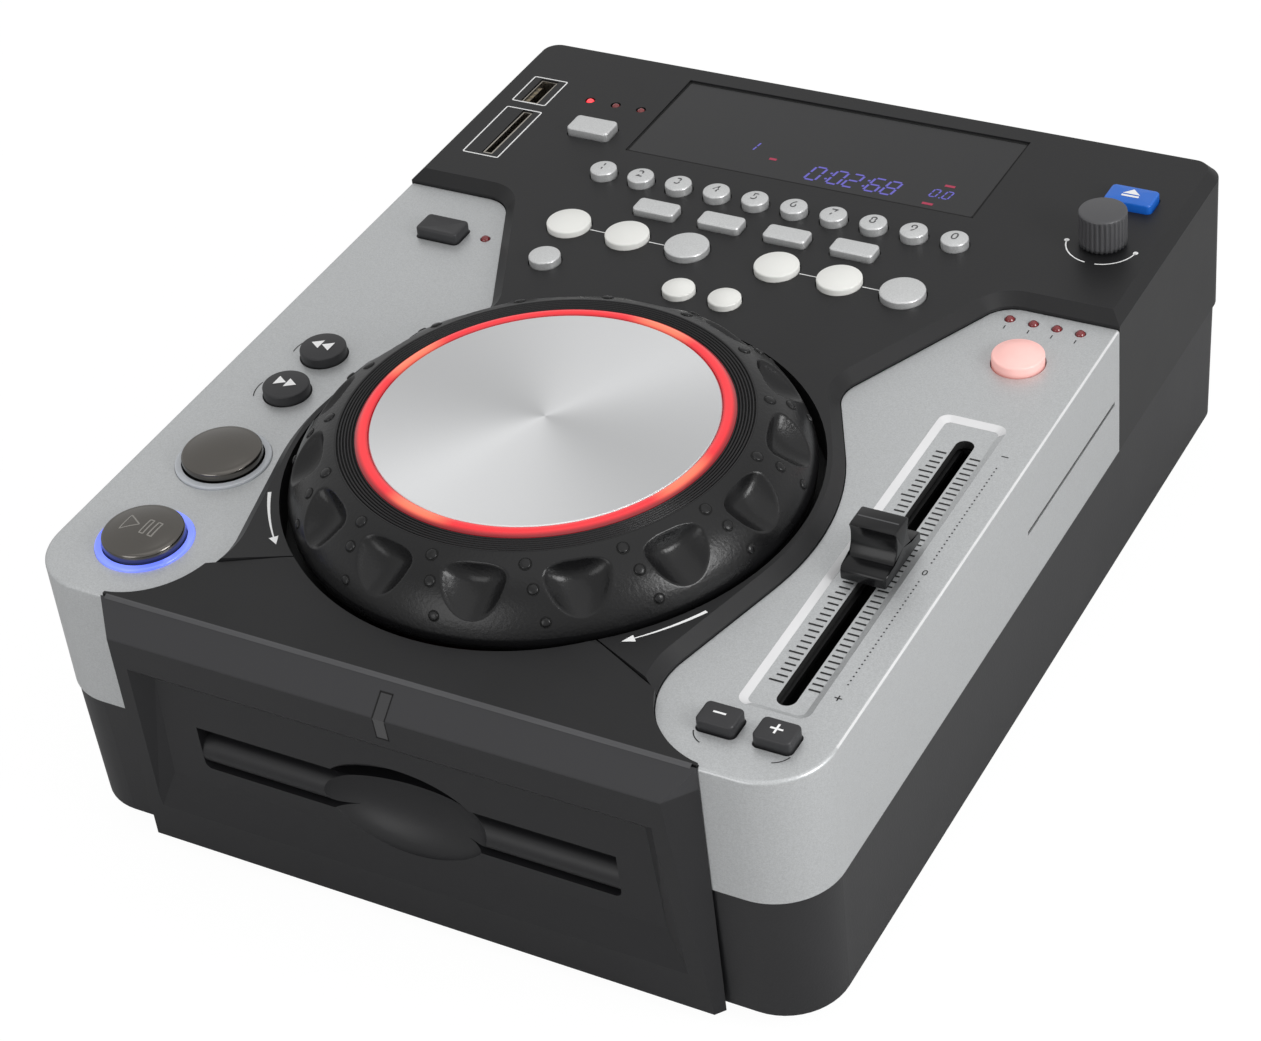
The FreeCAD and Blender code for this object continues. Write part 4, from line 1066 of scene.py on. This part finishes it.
def makeRearDetails():
    rear, height = frontY + rearParts["face"] * mm, rearParts["height"] * mm
    collars, pins, contacts = [], [], []
    for x, bore, outer in rearParts["collars"]:
        inside = (bore, -3.0), (bore, 0.45), (bore + 0.2, 0.55)
        outside = (outer - 0.2, 0.55), (outer, 0.4), (outer, -0.5)
        grid = latheGrid(np.array(inside + outside) * mm, (0, 0), 48)
        grid[..., 2] += rear
        collars.append(gridPart(turnedBack(grid, x * mm, height), flip=True))
    halfX, halfY = np.array(rearParts["pinHalf"]) * mm
    tip, root = rear - np.array(rearParts["pinDepths"]) * mm
    for x in rearParts["pins"]:
        grid = padGrid(np.zeros(2), halfX, halfY, 0.3 * mm, tip, root, 0.0, 0.2 * mm)
        pins.append(gridPart(turnedBack(grid, x * mm, height), flip=True))
    for name, parts in (("socket_collars", collars), ("inlet_pins", pins)):
        addPiece(name, joined(parts), "contact", "rear_sockets", sharp=40)
    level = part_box("media_ports")[1][2] - rearParts["contactDepth"] * mm
    x, back, step = rearParts["contacts"]
    for index in range(4):
        corners = place(x, back + step * index) + np.array(bar(-0.33, 0.33, -0.6, 0.6)) * mm
        contacts.append(polygon(corners, lambda y: 0 * y + level))
    addPrint("usb_contacts", contacts, "contact", "media_ports")


# Arcs beside keys on the wings: key, radius, start and end in degrees, and how far forward of the key
wingPrint = {
    "arcs": (("pitch_minus_key", 5.6, 200, 250, 2.2), ("pitch_plus_key", 5.6, 290, 340, 2.2),
             ("search_back_key", 9.6, 150, 190, 0.0), ("search_forward_key", 9.6, 170, 210, 0.0)),
    "lampLines": (84.3, 91.3, 98.2, 105.1),
    "lampLineEnds": (191.6, 190.0),
    "line": 0.3,
}


def makeWingPrint():
    parts = []
    for node, radius, start, end, forward in wingPrint["arcs"]:
        middle = nodeCentre(node)[0] - [0, forward * mm]
        parts.append(ribbon(arc(middle, radius * mm, start, end), wingPrint["line"] * mm, onWing))
    first, last = wingPrint["lampLineEnds"]
    parts += [stroke(x, first, x, last, wingPrint["line"], onWing) for x in wingPrint["lampLines"]]
    addPrint("wing_lines", parts, "blackInk", "right_wing", "control_grey")


# Seven-segment figures in a cell one unit wide and two high; text, left, front, size, stroke, advance
segments = {
    "a": ((0.12, 2.0), (0.88, 2.0)), "b": ((1, 1.1), (1, 1.9)), "c": ((1, 0.1), (1, 0.9)),
    "d": ((0.12, 0), (0.88, 0)), "e": ((0, 0.1), (0, 0.9)), "f": ((0, 1.1), (0, 1.9)),
    "g": ((0.12, 1), (0.88, 1)),
}
digitSegments = {"0": "abcdef", "1": "bc", "2": "abged", "6": "acdefg", "8": "abcdefg"}
display = {
    "figures": (("0:02:68", 1.2, 236.2, 3.6, 0.75, 1.42), ("1", -22.6, 245.6, 2.3, 0.55, 1.4),
                ("0.0", 40.0, 239.6, 2.0, 0.5, 1.45)),
    "marks": ((-12.1, 242.9, 2.4), (44.0, 246.4, 3.2), (41.5, 235.6, 3.4)),
    "markLine": 1.1,
    "slant": 0.16,
    "lift": 0.03 * mm,
    "edgeGap": 0.1 * mm,
    "edgeLine": 0.7 * mm,
}
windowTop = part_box("display_window")[1][2]


def onWindow(y):
    return windowTop + display["lift"] + 0 * y


def segmentDigits(text, left, front, size, thick, advance):
    # Leaning figures: each segment a short bar between two corners of its cell
    parts, slant = [], display["slant"]
    at = 0.0
    for sign in text:
        if sign in ":.":
            for level in ((0.55, 1.45) if sign == ":" else (0.0,)):
                spot = place(left + (at + 0.25 + slant * level) * size, front + level * size)
                parts.append(disc(spot, thick * 0.62 * mm, onWindow, 10))
            at += 0.55
            continue
        for key in digitSegments[sign]:
            ends = [place(left + (at + x + slant * y) * size, front + y * size) for x, y in segments[key]]
            parts.append(ribbon(np.array(ends), thick * mm, onWindow))
        at += advance
    return parts


def makeDisplay():
    figures = [part for row in display["figures"] for part in segmentDigits(*row)]
    addPrint("display_figures", figures, "digitLight", "display_window")
    line = display["markLine"]
    marks = [stroke(x - length / 2, back, x + length / 2, back, line, onWindow)
             for x, back, length in display["marks"]]
    addPrint("display_marks", marks, "markLight", "display_window")
    middle, low, high = nodeCentre("display_window")
    half = (np.array(high[:2]) - np.array(low[:2])) / 2 - display["edgeGap"]
    plan = roundedPlan(half[0], half[1], 1.0 * mm, 5) + middle
    edge = ribbon(plan, display["edgeLine"], onWindow, closed=True)
    addPrint("display_edge", [edge], "blackShadeAndOutline", "display_window")


for make in (makeKeyDigits, makeKeySymbols, makeDeckPrint, makeArrows, makeFaderScale, makeSlotLiner,
             makeRecessTrim, makeSlitShade, makeWingEdges, makeNoseEdge, makeGuideOutline,
             makeRearDetails, makeWingPrint, makeDisplay):
    make()
print("printing made")


# Selector knob
knobShape = {
    "radius": 6.9 * mm,
    "ribs": 30,
    "ribDepth": 0.35 * mm,
    "ribStart": 1.0 * mm,
    "ribFade": 0.8 * mm,
    "edge": 0.7 * mm,
    "dish": 0.4 * mm,
    "sideStart": 2.2 * mm,
    "gap": 1.0 * mm,
}


def makeSelector():
    centre, low, high = nodeCentre("encoder_knob")
    top, radius = high[2], knobShape["radius"]
    floor = deckZ(centre[1]) + knobShape["gap"]
    side = np.column_stack([np.full(9, radius), np.linspace(top - knobShape["sideStart"], floor, 9)])
    crown = crownProfile(radius, top, knobShape["dish"], knobShape["edge"])
    grid = latheGrid(np.concatenate([crown, side, [[0, floor]]]), centre, 360)
    angle = np.linspace(0, 2 * np.pi, 360, endpoint=False)
    wave = 0.5 - 0.5 * np.clip(2.2 * np.cos(knobShape["ribs"] * angle), -1, 1)
    reach = np.linalg.norm(grid[..., :2] - centre, axis=-1)
    share = np.clip((top - knobShape["ribStart"] - grid[..., 2]) / knobShape["ribFade"], 0, 1)
    scale = 1 - share * (reach > radius * 0.95) * wave * knobShape["ribDepth"] / radius
    grid[..., :2] = centre + (grid[..., :2] - centre) * scale[..., None]
    knob = addPiece("selector_knob", gridPart(grid), "knobGrey", "encoder_knob")
    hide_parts("encoder_knob")


makeSelector()


# Pitch fader's knob: a low base and a hollow-sided grip, sizes in millimetres from the base's underside
faderKnob = {
    "base": ((10.6, 0.0), (10.6, 2.3), (10.3, 2.9), (9.7, 3.3)),
    "scoopCentre": (11.2, 9.0),
    "scoopRadius": 8.0,
    "gripFoot": 3.5,
    "gripTop": 12.0,
    "crown": ((3.95, 12.2), (3.7, 12.45), (3.3, 12.55), (0.0, 12.6)),
    "halfWidth": 6.4 * mm,
    "height": 12.6 * mm,
    "bevel": 0.5 * mm,
}


def knobProfile():
    # The base, then the grip's side along the scoop's circle, then the crown
    heights = np.linspace(faderKnob["gripFoot"], faderKnob["gripTop"], 30)
    far, middle = faderKnob["scoopCentre"]
    side = far - np.sqrt(faderKnob["scoopRadius"] ** 2 - (heights - middle) ** 2)
    return np.concatenate([faderKnob["base"], np.column_stack([side, heights]), faderKnob["crown"]]) * mm


def makeFaderKnob():
    centre, low, high = nodeCentre("pitch_fader_knob")
    floor = high[2] - faderKnob["height"]
    half = knobProfile()
    loop = np.concatenate([half, half[-2::-1] * np.array([-1, 1])])
    middle = np.array([0, 5.5 * mm])
    width, bevel = faderKnob["halfWidth"], faderKnob["bevel"]
    sides = [(-width, 0.0), (-width, 0.94), (-width + 0.3 * bevel, 0.98), (-width + bevel, 1.0)]
    stations = sides + [(-x, scale) for x, scale in reversed(sides)]
    grid = []
    for x, scale in stations:
        section = middle + (loop - middle) * scale
        across = np.full(len(loop), centre[0] + x)
        grid.append(np.column_stack([across, centre[1] + section[:, 0], floor + section[:, 1]]))
    knob = addPiece("fader_knob", gridPart(grid, flip=True), "control", "pitch_fader_knob", sharp=32)
    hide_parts("pitch_fader_knob")
    level = high[2] + 0.02 * mm
    stripe = polygon(centre + np.array(bar(-5.6, 5.6, -0.25, 0.25)) * mm, lambda y: 0 * y + level)
    addPrint("fader_mark", [stripe], "greyInk", "pitch_fader_knob", "key_white")
    stem = padGrid(centre, 1.1 * mm, 4.3 * mm, 0.5 * mm, floor + 0.5 * mm, floor - 8 * mm, 0.0, 0.2 * mm)
    addPiece("fader_stem", gridPart(stem), "steel", "pitch_fader_knob", nodeSlot["pitch_fader_body"])


makeFaderKnob()
print("knobs made")


# Camera, set as in the photograph: focal length and width in pixels, angles in radians, the rest in mm
view = {
    "focal": 3076.815,
    "width": 1261,
    "turn": 0.567,
    "fall": 0.656,
    "roll": -0.121,
    "distance": 839.204,
    "slide": (-15.654, -27.588),
    "aim": (0.0, 150.0, 50.0),
    "scale": 1.05,
    "feet": 4,
}


def makeCamera():
    az, el, roll = view["turn"], view["fall"], view["roll"]
    forward = Vector((-math.sin(az) * math.cos(el), math.cos(az) * math.cos(el), -math.sin(el)))
    right = forward.cross(Vector((0, 0, 1))).normalized()
    up = right.cross(forward)
    across = right * math.cos(roll) + up * math.sin(roll)
    above = up * math.cos(roll) - right * math.sin(roll)
    right, up = view["slide"]
    spot = Vector(view["aim"]) - forward * view["distance"] + across * right + above * up
    spot = spot * view["scale"] * mm + Vector((0, frontY, view["feet"] * mm))
    data = bpy.data.cameras.new("photoCamera")
    data.sensor_width = 36.0
    data.lens = 36.0 * view["focal"] / view["width"]
    data.clip_start = 0.01
    camera = show("photoCamera", data)
    turned = Matrix((across, above, -forward)).transposed().to_4x4()
    camera.matrix_world = Matrix.Translation(spot) @ turned
    bpy.context.scene.camera = camera


makeCamera()


# Studio: a white floor and world, a broad lamp overhead, one to the right and one in front
studio = {
    "world": 0.70,
    "floor": 0.5,
    "floorGlow": 1.07,
    "floorSeen": 0.9,
    "floorHalf": 4.0,
    "floorDrop": 0.02 * mm,
    "overhead": {"place": (0.25, -0.05, 1.2), "aim": (0, 0.0, 0.05), "size": 1.4, "power": 2.2},
    "right": {"place": (0.64, -0.12, 0.36), "aim": (0.08, 0.0, 0.06), "size": 0.3, "power": 2.4},
    "front": {"place": (-0.15, -0.95, 0.32), "aim": (0, -0.1, 0.05), "size": 0.5, "power": 1.5},
}


def addLamp(name, settings):
    data = bpy.data.lights.new(name, "AREA")
    data.shape = "SQUARE"
    data.size = settings["size"]
    data.energy = settings["power"]
    lamp = show(name, data)
    lamp.location = settings["place"]
    aim = Vector(settings["aim"]) - Vector(settings["place"])
    lamp.rotation_euler = aim.to_track_quat("-Z", "Y").to_euler()


def addGlow(tree, kind, strength):
    light = tree.nodes.new(kind)
    light.inputs["Color"].default_value = (1, 1, 1, 1)
    light.inputs["Strength"].default_value = strength
    return light


def mixForCamera(tree, usual, seen, share, output):
    # Camera rays get a share of the second shader, all other rays get the first one
    path = tree.nodes.new("ShaderNodeLightPath")
    part = tree.nodes.new("ShaderNodeMath")
    part.operation = "MULTIPLY"
    part.inputs[1].default_value = share
    blend = tree.nodes.new("ShaderNodeMixShader")
    tree.links.new(path.outputs["Is Camera Ray"], part.inputs[0])
    for index, shader in enumerate((part, usual, seen)):
        tree.links.new(shader.outputs[0], blend.inputs[index])
    tree.links.new(blend.outputs[0], output.inputs["Surface"])


def makeWorld():
    # The camera sees plain white, and the object is lit more softly
    world = bpy.data.worlds.new("studioWorld")
    world.use_nodes = True
    tree = world.node_tree
    tree.nodes.clear()
    usual, seen = [addGlow(tree, "ShaderNodeBackground", strength) for strength in (studio["world"], 1.0)]
    mixForCamera(tree, usual, seen, 1.0, tree.nodes.new("ShaderNodeOutputWorld"))
    bpy.context.scene.world = world


def makeFloor():
    finish = Finish("floorWhite", {"Base Color": (studio["floor"],) * 3 + (1,), "Roughness": 0.8})
    glow = addGlow(finish.tree, "ShaderNodeEmission", studio["floorGlow"])
    mixForCamera(finish.tree, finish.shader, glow, studio["floorSeen"], finish.output)
    side, low = studio["floorHalf"], -studio["floorDrop"]
    mesh = bpy.data.meshes.new("floor")
    corners = [(-side, -side, low), (side, -side, low), (side, side, low), (-side, side, low)]
    mesh.from_pydata(corners, [], [(0, 1, 2, 3)])
    mesh.materials.append(finish.material)
    floor = show("floor", mesh)


makeWorld()
makeFloor()
for name in ("overhead", "right", "front"):
    addLamp(name, studio[name])
bpy.context.scene.view_settings.view_transform = "Standard"
print("studio made")
